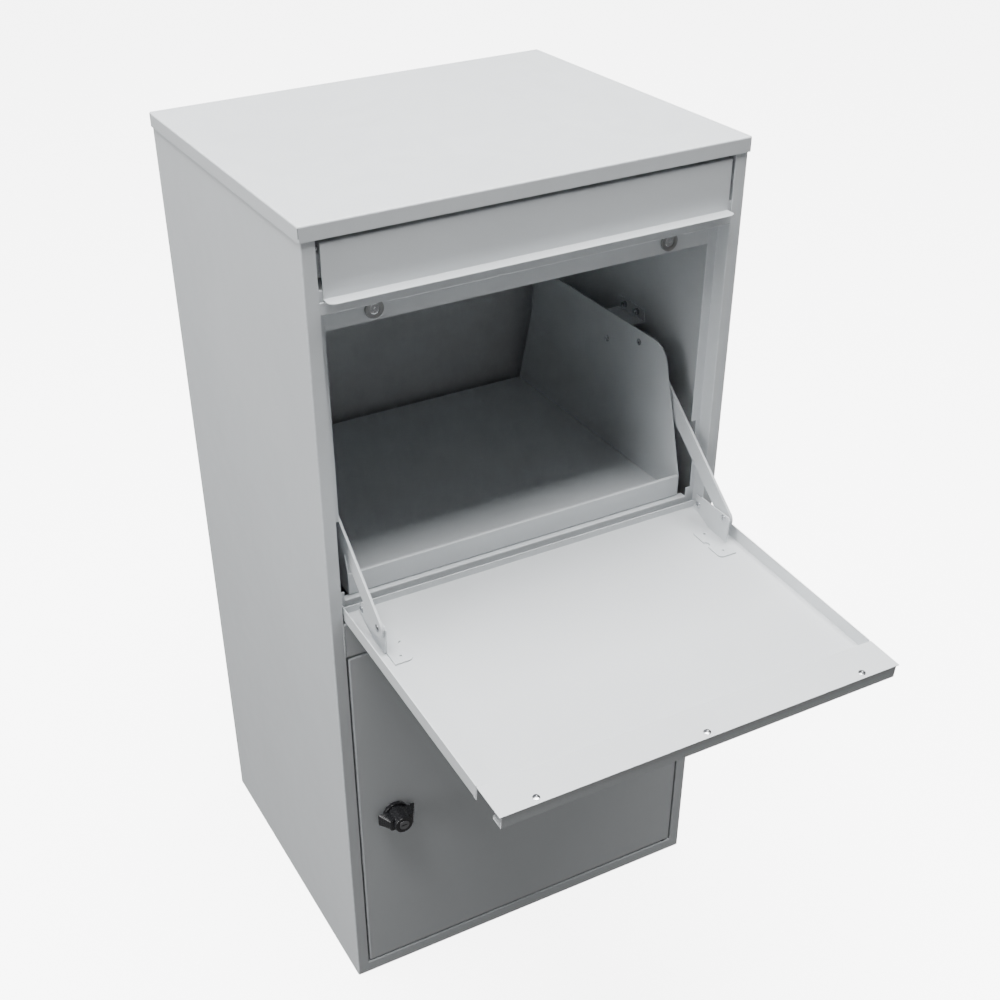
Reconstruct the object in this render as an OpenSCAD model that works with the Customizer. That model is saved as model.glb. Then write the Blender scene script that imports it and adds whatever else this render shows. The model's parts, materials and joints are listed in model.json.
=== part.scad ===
// Parcel drop box: a folded steel cabinet with a letter flap under the roof, a drop
// flap that carries a swinging parcel tray on two stay arms, and a locked door below.
// +Z is up, the front faces -Y, and the origin is the middle of the base on the floor.
// It is drawn with the drop flap open, the other doors shut and the lock's cam turned free.

/* [Cabinet] */
// Outside width across the side panels
body_w = 500; // [420:1:620]
// Outside depth from the front frame to the back panel
body_d = 425; // [400:1:560]
// Overall height to the top of the roof
body_h = 1000; // [970:1:1220]
// Thickness of the cabinet and flap sheet
sheet = 1.2; // [0.8:0.1:1.6]
// Depth of the roof skirt
roof_skirt = 16; // [12:1:24]
// Gap between the roof skirt and the cabinet
roof_gap = 0.8; // [0.5:0.1:1.5]

/* [Front frame] */
// Face width of the two stiles
stile_w = 15; // [12:1:22]
// Face height of the bottom rail
bottom_rail_h = 17; // [14:1:30]
// Height of the underside of the mid rail
mid_rail_z = 510; // [440:1:600]
// Face height of the mid rail
mid_rail_h = 45; // [35:1:70]
// Depth of the rebate that the doors close into
rebate_d = 19.6; // [19:0.1:24]
// Width of the rebate flange beside the openings
rebate_flange = 11.5; // [9:0.5:11.5]
// Face height of the top rail
top_rail_h = 13; // [10:1:18]
// Drop of the top rail's inner flange
top_flange_h = 25; // [24:1:30]

/* [Letter flap] */
// Height of the letter flap from its fold to its top edge
letter_h = 54; // [48:1:80]
// Reach of the pull lip in front of the frame
letter_lip = 15; // [10:1:22]
// Gap round the letter flap
letter_gap = 4.5; // [3:0.5:6]

/* [Drop flap] */
// Thickness of the drop flap from its face to its inner plate
flap_t = 17.2; // [15:0.1:17.4]
// Angle of the open flap below the horizontal
flap_tilt = 3.8; // [0:0.1:6]
// Depth of the flap's hinge pin behind the frame face
hinge_depth = 5; // [4.6:0.1:6]
// Gap between the flap and each stile
flap_gap = 1.5; // [1.2:0.1:2.5]
// Width of the raised plate that the magnets hold
grip_w = 42.5; // [36:0.5:60]

/* [Tray linkage] */
// Horizontal reach of the flap crank in front of its hinge
crank_y = 66.5; // [60:0.5:72]
// Rise of the flap crank above its hinge
crank_z = 21; // [17:0.5:24]
// Distance from the flap hinge back to the tray pivot
link_y = 181.5; // [175:0.5:195]
// Rise from the flap hinge to the tray pivot
link_z = 148; // [140:0.5:155]
// Width of the stay arms
arm_w = 22; // [16:1:24]
// Thickness of the stay arms
arm_t = 3; // [2:0.5:3]
// Radius of the linkage pins
pin_r = 3; // [2.5:0.1:3.5]
// Running clearance round each pin
pin_play = 0.1; // [0.05:0.01:0.15]

/* [Parcel tray] */
// Depth of the tray floor from its lip to its rear edge
tray_d = 373; // [340:1:385]
// Height of the tray lip above the floor
tray_lip_h = 26; // [15:1:30]
// Height of the tray wings above the floor
tray_wing_h = 175; // [165:1:190]

/* [Door] */
// Gap round the lower door
door_gap = 2.5; // [2:0.1:3]
// Depth of the lower door's folded edges
door_fold = 14; // [10:0.5:14]
// Distance of the lock from the door's left edge
lock_inset = 44.5; // [40:0.5:60]
// Radius of the knob's barrel
knob_r = 13; // [11:0.5:15]
// Distance from tip to tip of the knob's wings
knob_span = 49; // [42:1:56]

/* [Fixings] */
// Radius of the four floor fixing holes
anchor_r = 5.5; // [4:0.5:7]
// Distance of the fixing holes from the cabinet's sides
anchor_inset = 60; // [40:1:90]
// Radius of the flap magnets
magnet_r = 10; // [8:0.5:10]
// Distance of each magnet from the middle
magnet_x = 171.5; // [120:0.5:200]
// Distance of the outer grip screws from the middle
grip_screw_x = 191; // [150:1:200]

/* [Hidden] */
$fn = 48;

eps = 0.01;
over = 1;                                   // how far a cut runs past a face
paint = [0.79, 0.80, 0.81];
shade_paint = [0.70, 0.71, 0.72];
zinc = [0.80, 0.81, 0.82];
black = [0.06, 0.06, 0.07];

in_x = body_w / 2 - sheet;                  // inner face of a side panel
open_x = body_w / 2 - stile_w;              // inner edge of a stile
clear_x = open_x - rebate_flange;           // inner edge of a rebate flange
side_h = body_h - sheet;                    // side panels stop under the roof plate
skirt_z = body_h - roof_skirt;

// Heights of the front frame
letter_head_gap = 4;                        // below the roof skirt
letter_foot_gap = 1.8;                      // above the top rail
letter_top_z = skirt_z - letter_head_gap;
letter_fold_z = letter_top_z - letter_h;
top_rail_top = letter_fold_z - sheet - letter_foot_gap;
top_rail_z = top_rail_top - top_rail_h;
top_flange_z = top_rail_z - top_flange_h;
door_z0 = bottom_rail_h + door_gap;
door_z1 = mid_rail_z - door_gap;
mid_top_z = mid_rail_z + mid_rail_h;
hinge_rise = 10;                            // flap pin above the mid rail
hinge_z = mid_top_z + hinge_rise;
rest_rise = 7;                              // top of the mid rail's inner flange above the pin
rest_flange_z = hinge_z + rest_rise;
rest_lip = 9;                               // return that carries the tray's front edge

// Drop flap, measured from its hinge pin with the flap lying level
flap_top_gap = 2;                           // closed, between the flap and the top rail
flap_proud = 0.8;                           // closed, the face stands in front of the frame
flap_reach = top_rail_z - flap_top_gap - hinge_z;
flap_face = hinge_depth + flap_proud;
flap_plate = flap_t - flap_face;            // inner face of the raised plate
flap_tail = 6.3;                            // metal behind the pin
flap_rear_h = 10;
flap_half = open_x - flap_gap;
riser_y = flap_reach - grip_w;
flange_end = riser_y - 2;                   // the side flanges stop short of the riser

// Linkage, as offsets from the flap hinge in the open pose
arm_len = sqrt(link_y * link_y + link_z * link_z);
arm_angle = atan2(link_z, link_y);
tray_pivot_y = hinge_depth + link_y;
tray_pivot_z = hinge_z + link_z;
arm_clear = 1;                              // between the arm and the rebate flange
arm_x1 = clear_x - arm_clear;
arm_x0 = arm_x1 - arm_t;
bracket_t = 2;
bracket_play = 0.5;
bracket_x1 = arm_x0 - bracket_play;
bracket_x0 = bracket_x1 - bracket_t;
head_t = 1;
head_r = pin_r + 1.2;
cap_gap = 0.3;

// Parcel tray
tray_sheet = sheet;
tray_half = bracket_x0 - head_t - cap_gap;
tray_rest_gap = 0.5;
tray_z0 = rest_flange_z + tray_rest_gap;
tray_front_y = rebate_d + sheet + 4.4;
tray_rear_y = tray_front_y + tray_d;
tray_top_z = tray_z0 + tray_sheet;
wing_top_z = tray_top_z + tray_wing_h;
hem = 4.5;

// Tray pivot brackets on the side panels
pivot_l = 55;
pivot_h = 50;
pivot_t = 1.5;
pivot_x0 = clear_x + 2.5;
pivot_flange = 14;
stud_r = 2.5;

// Letter flap
letter_half = open_x - letter_gap;
letter_pin_y = 7;
letter_pin_drop = 6;                        // from the flap's top edge to its pins
letter_pin_z = letter_top_z - letter_pin_drop;
letter_pin_r = 2;
letter_return = 12;
letter_stop_h = 12;                         // upstand that the flap hangs against
pin_stub = 3;                               // how far a hinge pin passes a sheet

// Lower door
door_half = open_x - door_gap;
door_pin_inset = 8.5;
door_pin_x = door_half - door_pin_inset;
door_pin_y = 5.5;
door_pin_r = 2.5;
lock_x = lock_inset - door_half;
lock_z = (door_z0 + door_z1) / 2;
housing_r = 9;
spindle_r = 4;
cam_y = rebate_d + sheet + 2;               // the cam turns clear behind the flange
cam_t = 2.5;
cam_w = 16;
cam_reach = lock_inset + door_gap - 2;      // turned, its end stops 2 short of the jamb
plug_r = 6.5;
collar_t = 5;
knob_d = 27;
wing_t = 11;
knob_gap = 0.3;

// ---------- helpers ----------
// Everything is drawn with y measured back from the front of the frame
module in_frame() translate([0, -body_d / 2, 0]) children();

// A bar along x, between -half and +half
module x_bar(half, y0, y1, z0, z1) translate([-half, y0, z0]) cube([2 * half, y1 - y0, z1 - z0]);

// A plate between two x values on the side s, where s is 1 on the right and -1 on the left
module side_block(s, x0, x1, y0, y1, z0, z1)
    translate([s > 0 ? x0 : -x1, y0, z0]) cube([x1 - x0, y1 - y0, z1 - z0]);

// A pin along x between two distances from the middle, on the side s
module side_pin(s, x0, x1, r)
    translate([s > 0 ? x0 : -x1, 0, 0]) rotate([0, 90, 0]) cylinder(h = x1 - x0, r = r);

// A flat shape in y and z, made into a plate between two x values on the side s
module side_plate(s, x0, x1)
    translate([s > 0 ? x0 : -x1, 0, 0]) rotate([90, 0, 90]) linear_extrude(x1 - x0) children();

// A pin along y
module y_pin(y0, y1, r) translate([0, y1, 0]) rotate([90, 0, 0]) cylinder(h = y1 - y0, r = r);

// The drop flap's own frame: its pin at the origin, y back to the hinge, z to its inner side
module on_flap() translate([0, hinge_depth, hinge_z]) rotate([flap_tilt, 0, 0]) children();

// The lower crank pin and the tray's two pivots
module at_crank() translate([0, hinge_depth - crank_y, hinge_z + crank_z]) children();
module at_tray_pivot() translate([0, tray_pivot_y, tray_pivot_z]) children();
module at_tray_crank() at_tray_pivot() translate([0, -crank_y, crank_z]) children();

module at_lock() translate([lock_x, 0, lock_z]) children();

// A rectangle whose two outer corners, at y0, are rounded
module lip_plan(half, y0, y1, r) {
    translate([-half, y0 + r]) square([2 * half, y1 - y0 - r]);
    translate([-half + r, y0]) square([2 * half - 2 * r, r + eps]);
    for (s = [-1, 1]) translate([s * (half - r), y0 + r]) circle(r);
}

// ---------- cabinet ----------
module side_panel(s) color(paint) in_frame() {
    side_block(s, in_x, body_w / 2, 0, body_d, 0, side_h);
    side_block(s, open_x, in_x, 0, sheet, 0, side_h);
}
module side_panel_left() side_panel(-1);
module side_panel_right() side_panel(1);

module back_panel() color(paint) in_frame() x_bar(in_x, body_d - sheet, body_d, 0, side_h);

module base_panel() color(paint) in_frame() difference() {
    x_bar(in_x, sheet, body_d - sheet, 0, sheet);
    for (x = [-1, 1], y = [anchor_inset, body_d - anchor_inset])
        translate([x * (body_w / 2 - anchor_inset), y, -over]) cylinder(h = sheet + 2 * over, r = anchor_r);
}

roof_out = roof_gap + sheet;
module roof_cap() color(paint) in_frame() {
    slit_w = 0.8;
    slit_h = 10;
    difference() {
        translate([-body_w / 2 - roof_out, -roof_out, skirt_z])
            cube([body_w + 2 * roof_out, body_d + 2 * roof_out, roof_skirt]);
        translate([-body_w / 2 - roof_gap, -roof_gap, skirt_z - over])
            cube([body_w + 2 * roof_gap, body_d + 2 * roof_gap, roof_skirt - sheet + over]);
        for (s = [-1, 1], y = [-roof_out, body_d + roof_out])
            translate([s * (body_w / 2 + roof_out) - slit_w, y - slit_w, body_h - sheet - over - slit_h])
                cube([2 * slit_w, 2 * slit_w, slit_h]);
    }
}

// A jamb is the return behind the stile and the flange that the doors close against
module jamb(s) color(shade_paint) in_frame() difference() {
    notch_lo = hinge_z + 18;
    notch_hi = hinge_z + 107;
    notch_x = open_x - 5.2;                 // cut back where the arms' pins pass
    union() {
        side_block(s, open_x, open_x + sheet, sheet, rebate_d + sheet, sheet, side_h);
        side_block(s, clear_x, open_x, rebate_d, rebate_d + sheet, sheet, top_rail_z);
    }
    side_block(s, clear_x - over, notch_x, rebate_d - over, rebate_d + sheet + over, notch_lo, notch_hi);
    translate([0, hinge_depth, hinge_z]) side_pin(s, open_x - over, open_x + sheet + over, pin_r);
    translate([0, letter_pin_y, letter_pin_z])
        side_pin(s, open_x - over, open_x + sheet + over, letter_pin_r);
}
module jamb_left() jamb(-1);
module jamb_right() jamb(1);

module top_rail() color(paint) in_frame() difference() {
    slot_return = 30;
    stop_y = sheet + cap_gap;
    stop_z = top_rail_top + letter_stop_h;
    notch_r = magnet_r + 4;
    union() {
        x_bar(open_x, 0, sheet, top_rail_z, top_rail_top);
        x_bar(open_x, sheet, stop_y + sheet, top_rail_top - sheet, top_rail_top);
        x_bar(open_x, stop_y, stop_y + sheet, top_rail_top, stop_z);
        x_bar(open_x, stop_y + sheet, slot_return, stop_z - sheet, stop_z);
        x_bar(open_x, sheet, rebate_d + sheet, top_rail_z, top_rail_z + sheet);
        x_bar(clear_x, rebate_d, rebate_d + sheet, top_flange_z, top_rail_z);
    }
    for (s = [-1, 1]) at_magnet(s) {
        y_pin(-over, rebate_d - over, notch_r);
        y_pin(rebate_d - over, rebate_d + sheet + over, magnet_screw_r);
    }
}

module mid_rail() color(paint) in_frame() difference() {
    union() {
        x_bar(open_x, 0, sheet, mid_rail_z, mid_top_z);
        x_bar(open_x, sheet, rebate_d, mid_rail_z, mid_rail_z + sheet);
        x_bar(open_x, sheet, rebate_d, mid_top_z - sheet, mid_top_z);
        x_bar(clear_x, rebate_d, rebate_d + sheet, mid_rail_z - rebate_flange, mid_rail_z + sheet);
        x_bar(clear_x, rebate_d, rebate_d + sheet, mid_top_z - sheet, rest_flange_z);
        x_bar(clear_x, rebate_d + sheet, rebate_d + rest_lip, rest_flange_z - sheet, rest_flange_z);
    }
    translate([door_pin_x, door_pin_y, mid_rail_z - over]) cylinder(h = sheet + 2 * over, r = door_pin_r);
}

module bottom_rail() color(paint) in_frame() difference() {
    union() {
        x_bar(open_x, 0, sheet, 0, bottom_rail_h);
        x_bar(open_x, sheet, rebate_d, bottom_rail_h - sheet, bottom_rail_h);
        x_bar(clear_x, rebate_d, rebate_d + sheet, bottom_rail_h - sheet, bottom_rail_h + rebate_flange);
    }
    translate([door_pin_x, door_pin_y, bottom_rail_h - sheet - over])
        cylinder(h = sheet + 2 * over, r = door_pin_r);
}

// ---------- flap magnets ----------
magnet_screw_r = 2;
magnet_face_y = hinge_depth + flap_plate + cap_gap;
magnet_edge = 2.5;                          // flange left below each magnet
magnet_z = top_flange_z + magnet_r + magnet_edge;
magnet_bore_r = magnet_r - 4.2;
module at_magnet(s) translate([s * magnet_x, 0, magnet_z]) children();

module magnets() color(zinc) in_frame() for (s = [-1, 1]) at_magnet(s) difference() {
    y_pin(magnet_face_y, rebate_d, magnet_r);
    y_pin(magnet_face_y - over, magnet_face_y + 1, magnet_bore_r);
    y_pin(magnet_face_y, rebate_d + over, magnet_screw_r);
}

module magnet_screws() color(zinc) in_frame() for (s = [-1, 1]) at_magnet(s) difference() {
    union() {
        y_pin(magnet_face_y + 0.2, magnet_face_y + 1, magnet_bore_r - 0.5);
        y_pin(magnet_face_y + 1, rebate_d + sheet, magnet_screw_r);
        y_pin(rebate_d + sheet, rebate_d + sheet + 3, magnet_bore_r);
    }
    y_pin(magnet_face_y - over, magnet_face_y + 0.8, magnet_screw_r / 2);
}

// ---------- letter flap ----------
module letter_flap() color(paint) in_frame() {
    ear_drop = letter_pin_drop + 5;
    lip_r = 8;
    x_bar(letter_half, 0, sheet, letter_fold_z, letter_top_z);
    x_bar(letter_half, sheet, letter_return, letter_top_z - sheet, letter_top_z);
    translate([0, 0, letter_fold_z - sheet]) linear_extrude(sheet)
        lip_plan(letter_half, -letter_lip, sheet, lip_r);
    for (s = [-1, 1]) difference() {
        side_block(s, letter_half - sheet, letter_half, sheet, letter_return,
            letter_top_z - ear_drop, letter_top_z - sheet);
        translate([0, letter_pin_y, letter_pin_z])
            side_pin(s, letter_half - sheet - over, letter_half + over, letter_pin_r + pin_play);
    }
}

module letter_flap_pins() color(zinc) in_frame() translate([0, letter_pin_y, letter_pin_z])
    for (s = [-1, 1]) {
        x0 = letter_half - sheet - cap_gap - head_t;
        side_pin(s, x0, open_x + sheet + pin_stub, letter_pin_r);
        side_pin(s, x0, x0 + head_t, letter_pin_r + 1.2);
    }

// ---------- drop flap ----------
module flap_panel() color(paint) in_frame() on_flap() {
    z0 = -flap_face;
    difference() {
        union() {
            x_bar(flap_half, -riser_y, flap_tail, z0, z0 + sheet);
            x_bar(flap_half, flap_tail - sheet, flap_tail, z0 + sheet, z0 + flap_rear_h);
            x_bar(flap_half, -riser_y, sheet - riser_y, z0 + sheet, flap_plate - sheet);
            x_bar(flap_half, -flap_reach, sheet - riser_y, flap_plate - sheet, flap_plate);
            for (s = [-1, 1]) side_block(s, flap_half - sheet, flap_half, -flange_end, flap_tail - sheet,
                z0 + sheet, flap_plate);
        }
        for (s = [-1, 1]) side_pin(s, flap_half - sheet - over, flap_half + over, pin_r + pin_play);
        for (x = [-1, 0, 1]) translate([x * grip_screw_x, grip_screw_y, flap_plate - sheet - over])
            cylinder(h = sheet + 2 * over, r = grip_screw_r);
    }
}

grip_edge = 1;                              // the plate overhangs the channel
grip_screw_inset = 7.5;
grip_screw_y = grip_screw_inset - flap_reach;
grip_screw_r = 2;
module grip_channel() color(shade_paint) in_frame() on_flap() {
    half = flap_half - 2.5;
    y0 = -flap_reach + grip_edge;
    lip = 18;
    lip_r = 4;
    z0 = -flap_face;
    z1 = flap_plate - sheet;
    difference() {
        x_bar(half, y0, y0 + lip, z1 - sheet, z1);
        for (x = [-1, 0, 1]) translate([x * grip_screw_x, grip_screw_y, z1 - sheet - over])
            cylinder(h = sheet + 2 * over, r = grip_screw_r);
    }
    x_bar(half, y0, y0 + sheet, z0, z1 - sheet);
    mirror([0, 1, 0]) translate([0, 0, z0]) linear_extrude(sheet)
        lip_plan(half, -y0 - lip, -y0 - sheet, lip_r);
}

module grip_screws() color(zinc) in_frame() on_flap() for (x = [-1, 0, 1])
    translate([x * grip_screw_x, grip_screw_y, 0]) difference() {
        nut_t = 2.5;
        screw_head_t = 0.8;
        screw_head_r = 3.8;
        union() {
            translate([0, 0, flap_plate - 2 * sheet]) cylinder(h = 2 * sheet, r = grip_screw_r);
            translate([0, 0, flap_plate]) cylinder(h = screw_head_t, r = screw_head_r);
            translate([0, 0, flap_plate - 2 * sheet - nut_t]) cylinder(h = nut_t, r = screw_head_r);
        }
        translate([0, 0, flap_plate + screw_head_t / 2]) cylinder(h = over, r = screw_head_r / 3);
    }

module flap_hinge_pins() color(zinc) in_frame() translate([0, hinge_depth, hinge_z])
    for (s = [-1, 1]) {
        x0 = flap_half - sheet - cap_gap - head_t;
        side_pin(s, x0, open_x + sheet + pin_stub, pin_r);
        side_pin(s, x0, x0 + head_t, head_r);
    }

// The bracket is an upright plate on a foot that is spot welded to the flap
crank_fy = -crank_y * cos(flap_tilt) + crank_z * sin(flap_tilt);
crank_fz = crank_y * sin(flap_tilt) + crank_z * cos(flap_tilt);
rivet_y = -18.5;
rivet_z = crank_fz - 10;
rivet_r = 2.5;
module flap_bracket(s) color(paint) in_frame() on_flap() {
    floor_z = sheet - flap_face;
    foot_t = 2;
    front_y = crank_fy - 11;
    heel_y = rivet_y + 9;
    leg_w = 28;                             // behind it the plate rises clear of the flap
    top_z = crank_fz + 5.5;
    bevel = 3;
    foot_y0 = front_y - 20;
    foot_y1 = front_y + 36;
    foot_w = 22;
    foot_x = bracket_x0 - foot_w;
    foot_r = 6;
    weld_y = 10;
    weld_r = 1.5;
    waist_r = 4.5;
    difference() {
        side_plate(s, bracket_x0, bracket_x1) polygon([
            [rivet_y - bevel, top_z - bevel], [front_y + bevel, top_z], [front_y, top_z - bevel],
            [front_y, floor_z + waist_r], [front_y + bevel, floor_z], [front_y + leg_w, floor_z],
            [heel_y, rivet_z - foot_r]]);
        translate([0, crank_fy, crank_fz]) side_pin(s, bracket_x0 - over, bracket_x1 + over, pin_r);
        translate([0, rivet_y, rivet_z]) side_pin(s, bracket_x0 - over, bracket_x1 + over, rivet_r);
    }
    translate([0, 0, floor_z]) linear_extrude(foot_t) difference() {
        union() {
            translate([s > 0 ? foot_x + foot_r : -bracket_x0, foot_y0])
                square([foot_w - foot_r, foot_y1 - foot_y0]);
            for (y = [foot_y0 + foot_r, foot_y1 - foot_r])
                translate([s * (foot_x + foot_r), y]) circle(foot_r);
            translate([s > 0 ? foot_x : -foot_x - foot_r, foot_y0 + foot_r])
                square([foot_r, foot_y1 - foot_y0 - 2 * foot_r]);
        }
        translate([s * foot_x, (foot_y0 + foot_y1) / 2]) circle(waist_r);
        for (y = [foot_y0 + weld_y, foot_y1 - weld_y])
            translate([s * (foot_x + foot_w / 2), y]) circle(weld_r);
    }
}
module flap_bracket_left() flap_bracket(-1);
module flap_bracket_right() flap_bracket(1);

module bracket_rivets() color(zinc) in_frame() on_flap() translate([0, rivet_y, rivet_z]) for (s = [-1, 1]) {
    side_pin(s, bracket_x0 - head_t, bracket_x1 + head_t, rivet_r);
    side_pin(s, bracket_x0 - head_t, bracket_x0, head_r);
    side_pin(s, bracket_x1, bracket_x1 + head_t, head_r);
}

module arm_lower_pins() color(zinc) in_frame() at_crank() for (s = [-1, 1]) {
    side_pin(s, bracket_x0 - head_t, arm_x1 + head_t + cap_gap, pin_r);
    side_pin(s, bracket_x0 - head_t, bracket_x0, head_r);
    side_pin(s, arm_x1 + cap_gap, arm_x1 + cap_gap + head_t, head_r);
}

// ---------- stay arms ----------
module stay_arm(s) color(paint) in_frame() at_crank()
    side_plate(s, arm_x0, arm_x1) rotate(arm_angle) difference() {
        union() {
            translate([0, -arm_w / 2]) square([arm_len, arm_w]);
            circle(arm_w / 2);
            translate([arm_len, 0]) circle(arm_w / 2);
        }
        circle(pin_r + pin_play);
        translate([arm_len, 0]) circle(pin_r + pin_play);
    }
module stay_arm_left() stay_arm(-1);
module stay_arm_right() stay_arm(1);

module arm_upper_pins() color(zinc) in_frame() at_tray_crank() for (s = [-1, 1]) {
    side_pin(s, tray_half - tray_sheet - head_t, arm_x1 + head_t + cap_gap, pin_r);
    side_pin(s, tray_half - tray_sheet - head_t, tray_half - tray_sheet, head_r);
    side_pin(s, tray_half, arm_x0 - cap_gap, head_r);
    side_pin(s, arm_x1 + cap_gap, arm_x1 + cap_gap + head_t, head_r);
}

// ---------- parcel tray ----------
module tray_floor() color(shade_paint) in_frame() {
    half = tray_half - tray_sheet;
    lip_z = tray_top_z + tray_lip_h;
    x_bar(half, tray_front_y, tray_rear_y, tray_z0, tray_top_z);
    x_bar(half, tray_front_y, tray_front_y + tray_sheet, tray_top_z, lip_z);
    x_bar(half, tray_front_y + tray_sheet, tray_front_y + hem, lip_z - tray_sheet, lip_z);
    x_bar(half, tray_front_y + hem - tray_sheet, tray_front_y + hem, lip_z - hem, lip_z - tray_sheet);
}

// The wing leans in at both ends and its front top corner is rounded
module tray_wing(s) color(shade_paint) in_frame() {
    lean_front = 44;
    lean_rear = 49;
    corner_r = 26;
    arc_steps = 8;
    foot_front = tray_top_z + tray_lip_h;
    lean_angle = atan2(lean_front, wing_top_z - foot_front);
    arc_y = tray_front_y + lean_front + corner_r * (1 / cos(lean_angle) - tan(lean_angle));
    arc_z = wing_top_z - corner_r;
    arc = [for (i = [0:arc_steps]) let (a = 90 + (90 - lean_angle) * i / arc_steps)
        [arc_y + corner_r * cos(a), arc_z + corner_r * sin(a)]];
    difference() {
        side_plate(s, tray_half - tray_sheet, tray_half) polygon(concat(
            [[tray_front_y, tray_z0], [tray_rear_y, tray_z0], [tray_rear_y - lean_rear, wing_top_z]],
            arc, [[tray_front_y, foot_front]]));
        at_tray_crank() side_pin(s, tray_half - tray_sheet - over, tray_half + over, pin_r);
        at_tray_pivot() side_pin(s, tray_half - tray_sheet - over, tray_half + over, pin_r + pin_play);
    }
}
module tray_wing_left() tray_wing(-1);
module tray_wing_right() tray_wing(1);

module tray_pivot_pins() color(zinc) in_frame() at_tray_pivot() for (s = [-1, 1]) {
    x0 = tray_half - tray_sheet - cap_gap - head_t;
    x1 = pivot_x0 + pivot_t;
    nut_t = 3.5;
    side_pin(s, x0, x1 + nut_t, pin_r);
    side_pin(s, x0, x0 + head_t, head_r);
    side_pin(s, x1, x1 + nut_t, head_r + 0.8);
}

module tray_bushes() color(black) in_frame() at_tray_pivot() for (s = [-1, 1]) difference() {
    side_pin(s, tray_half + cap_gap, pivot_x0 - cap_gap, 2 * pin_r);
    side_pin(s, tray_half, pivot_x0, pin_r + pin_play);
}

module pivot_bracket(s) color(paint) in_frame() at_tray_pivot() difference() {
    y0 = -pivot_l / 2;
    y1 = pivot_l / 2;
    z0 = -pivot_h / 2;
    z1 = pivot_h / 2;
    union() {
        side_block(s, pivot_x0, pivot_x0 + pivot_t, y0, y1, z0, z1);
        side_block(s, pivot_x0 + pivot_t, in_x, y0, y1, z1 - pivot_t, z1);
        side_block(s, pivot_x0 + pivot_t, in_x, y0, y1, z0, z0 + pivot_t);
        side_block(s, in_x - pivot_t, in_x, y0, y1, z1, z1 + pivot_flange);
        side_block(s, in_x - pivot_t, in_x, y0, y1, z0 - pivot_flange, z0);
    }
    side_pin(s, pivot_x0 - over, pivot_x0 + pivot_t + over, pin_r);
    for (y = [-1, 1], z = [-1, 1]) translate([0, y * stud_y, z * stud_z])
        side_pin(s, in_x - pivot_t - over, in_x + eps, stud_r);
}
stud_y = pivot_l / 4;
stud_z = pivot_h / 2 + pivot_flange / 2;
module pivot_bracket_left() pivot_bracket(-1);
module pivot_bracket_right() pivot_bracket(1);

// Studs welded to the side panels, each with its hexagon nut
module bracket_nuts() color(zinc) in_frame() at_tray_pivot()
    for (s = [-1, 1], y = [-1, 1], z = [-1, 1]) translate([0, y * stud_y, z * stud_z]) {
        nut_t = 4;
        nut_r = 4.6;
        side_pin(s, in_x - pivot_t - nut_t - over, in_x, stud_r);
        translate([s > 0 ? in_x - pivot_t - nut_t : -in_x + pivot_t, 0, 0])
            rotate([0, 90, 0]) cylinder(h = nut_t, r = nut_r, $fn = 6);
    }

// ---------- lower door ----------
module lower_door() color(paint) in_frame() {
    pin_hole_r = door_pin_r + pin_play;
    difference() {
        union() {
            x_bar(door_half, 0, sheet, door_z0, door_z1);
            for (s = [-1, 1]) side_block(s, door_half - sheet, door_half, sheet, door_fold, door_z0, door_z1);
            for (z = [door_z0, door_z1 - sheet]) x_bar(door_half - sheet, sheet, door_fold, z, z + sheet);
        }
        at_lock() y_pin(-over, sheet + over, housing_r);
        for (z = [door_z0, door_z1 - sheet]) translate([door_pin_x, door_pin_y, z - over])
            cylinder(h = sheet + 2 * over, r = pin_hole_r);
    }
}

module door_hinge_pins() color(zinc) in_frame() translate([door_pin_x, door_pin_y, 0]) {
    pin_l = sheet + door_gap + 2 * pin_stub;
    translate([0, 0, bottom_rail_h - sheet - pin_stub]) cylinder(h = pin_l + sheet, r = door_pin_r);
    translate([0, 0, door_z1 - sheet - pin_stub]) cylinder(h = pin_l + sheet, r = door_pin_r);
}

module door_hinge_washers() color(black) in_frame() difference() {
    washer_r = 4.4;
    union() {
        translate([door_pin_x, door_pin_y, bottom_rail_h]) cylinder(h = door_gap - cap_gap, r = washer_r);
        translate([door_pin_x, door_pin_y, door_z1 + cap_gap]) cylinder(h = door_gap - cap_gap, r = washer_r);
    }
    translate([door_pin_x, door_pin_y, 0]) cylinder(h = mid_rail_z + over, r = door_pin_r);
}

// ---------- lock ----------
rim_t = 2;
module lock_housing() color(zinc) in_frame() at_lock() difference() {
    rim = 3.5;
    union() {
        y_pin(-rim_t, 0, housing_r + rim);
        y_pin(0, cam_y - over, housing_r);
    }
    y_pin(-rim_t - over, cam_y, spindle_r + pin_play);
}

module lock_nut() color(zinc) in_frame() at_lock() difference() {
    nut_t = 4;
    nut_r = 13;
    translate([0, sheet + nut_t, 0]) rotate([90, 0, 0]) cylinder(h = nut_t, r = nut_r, $fn = 6);
    y_pin(sheet - over, sheet + nut_t + over, housing_r);
}

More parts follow.
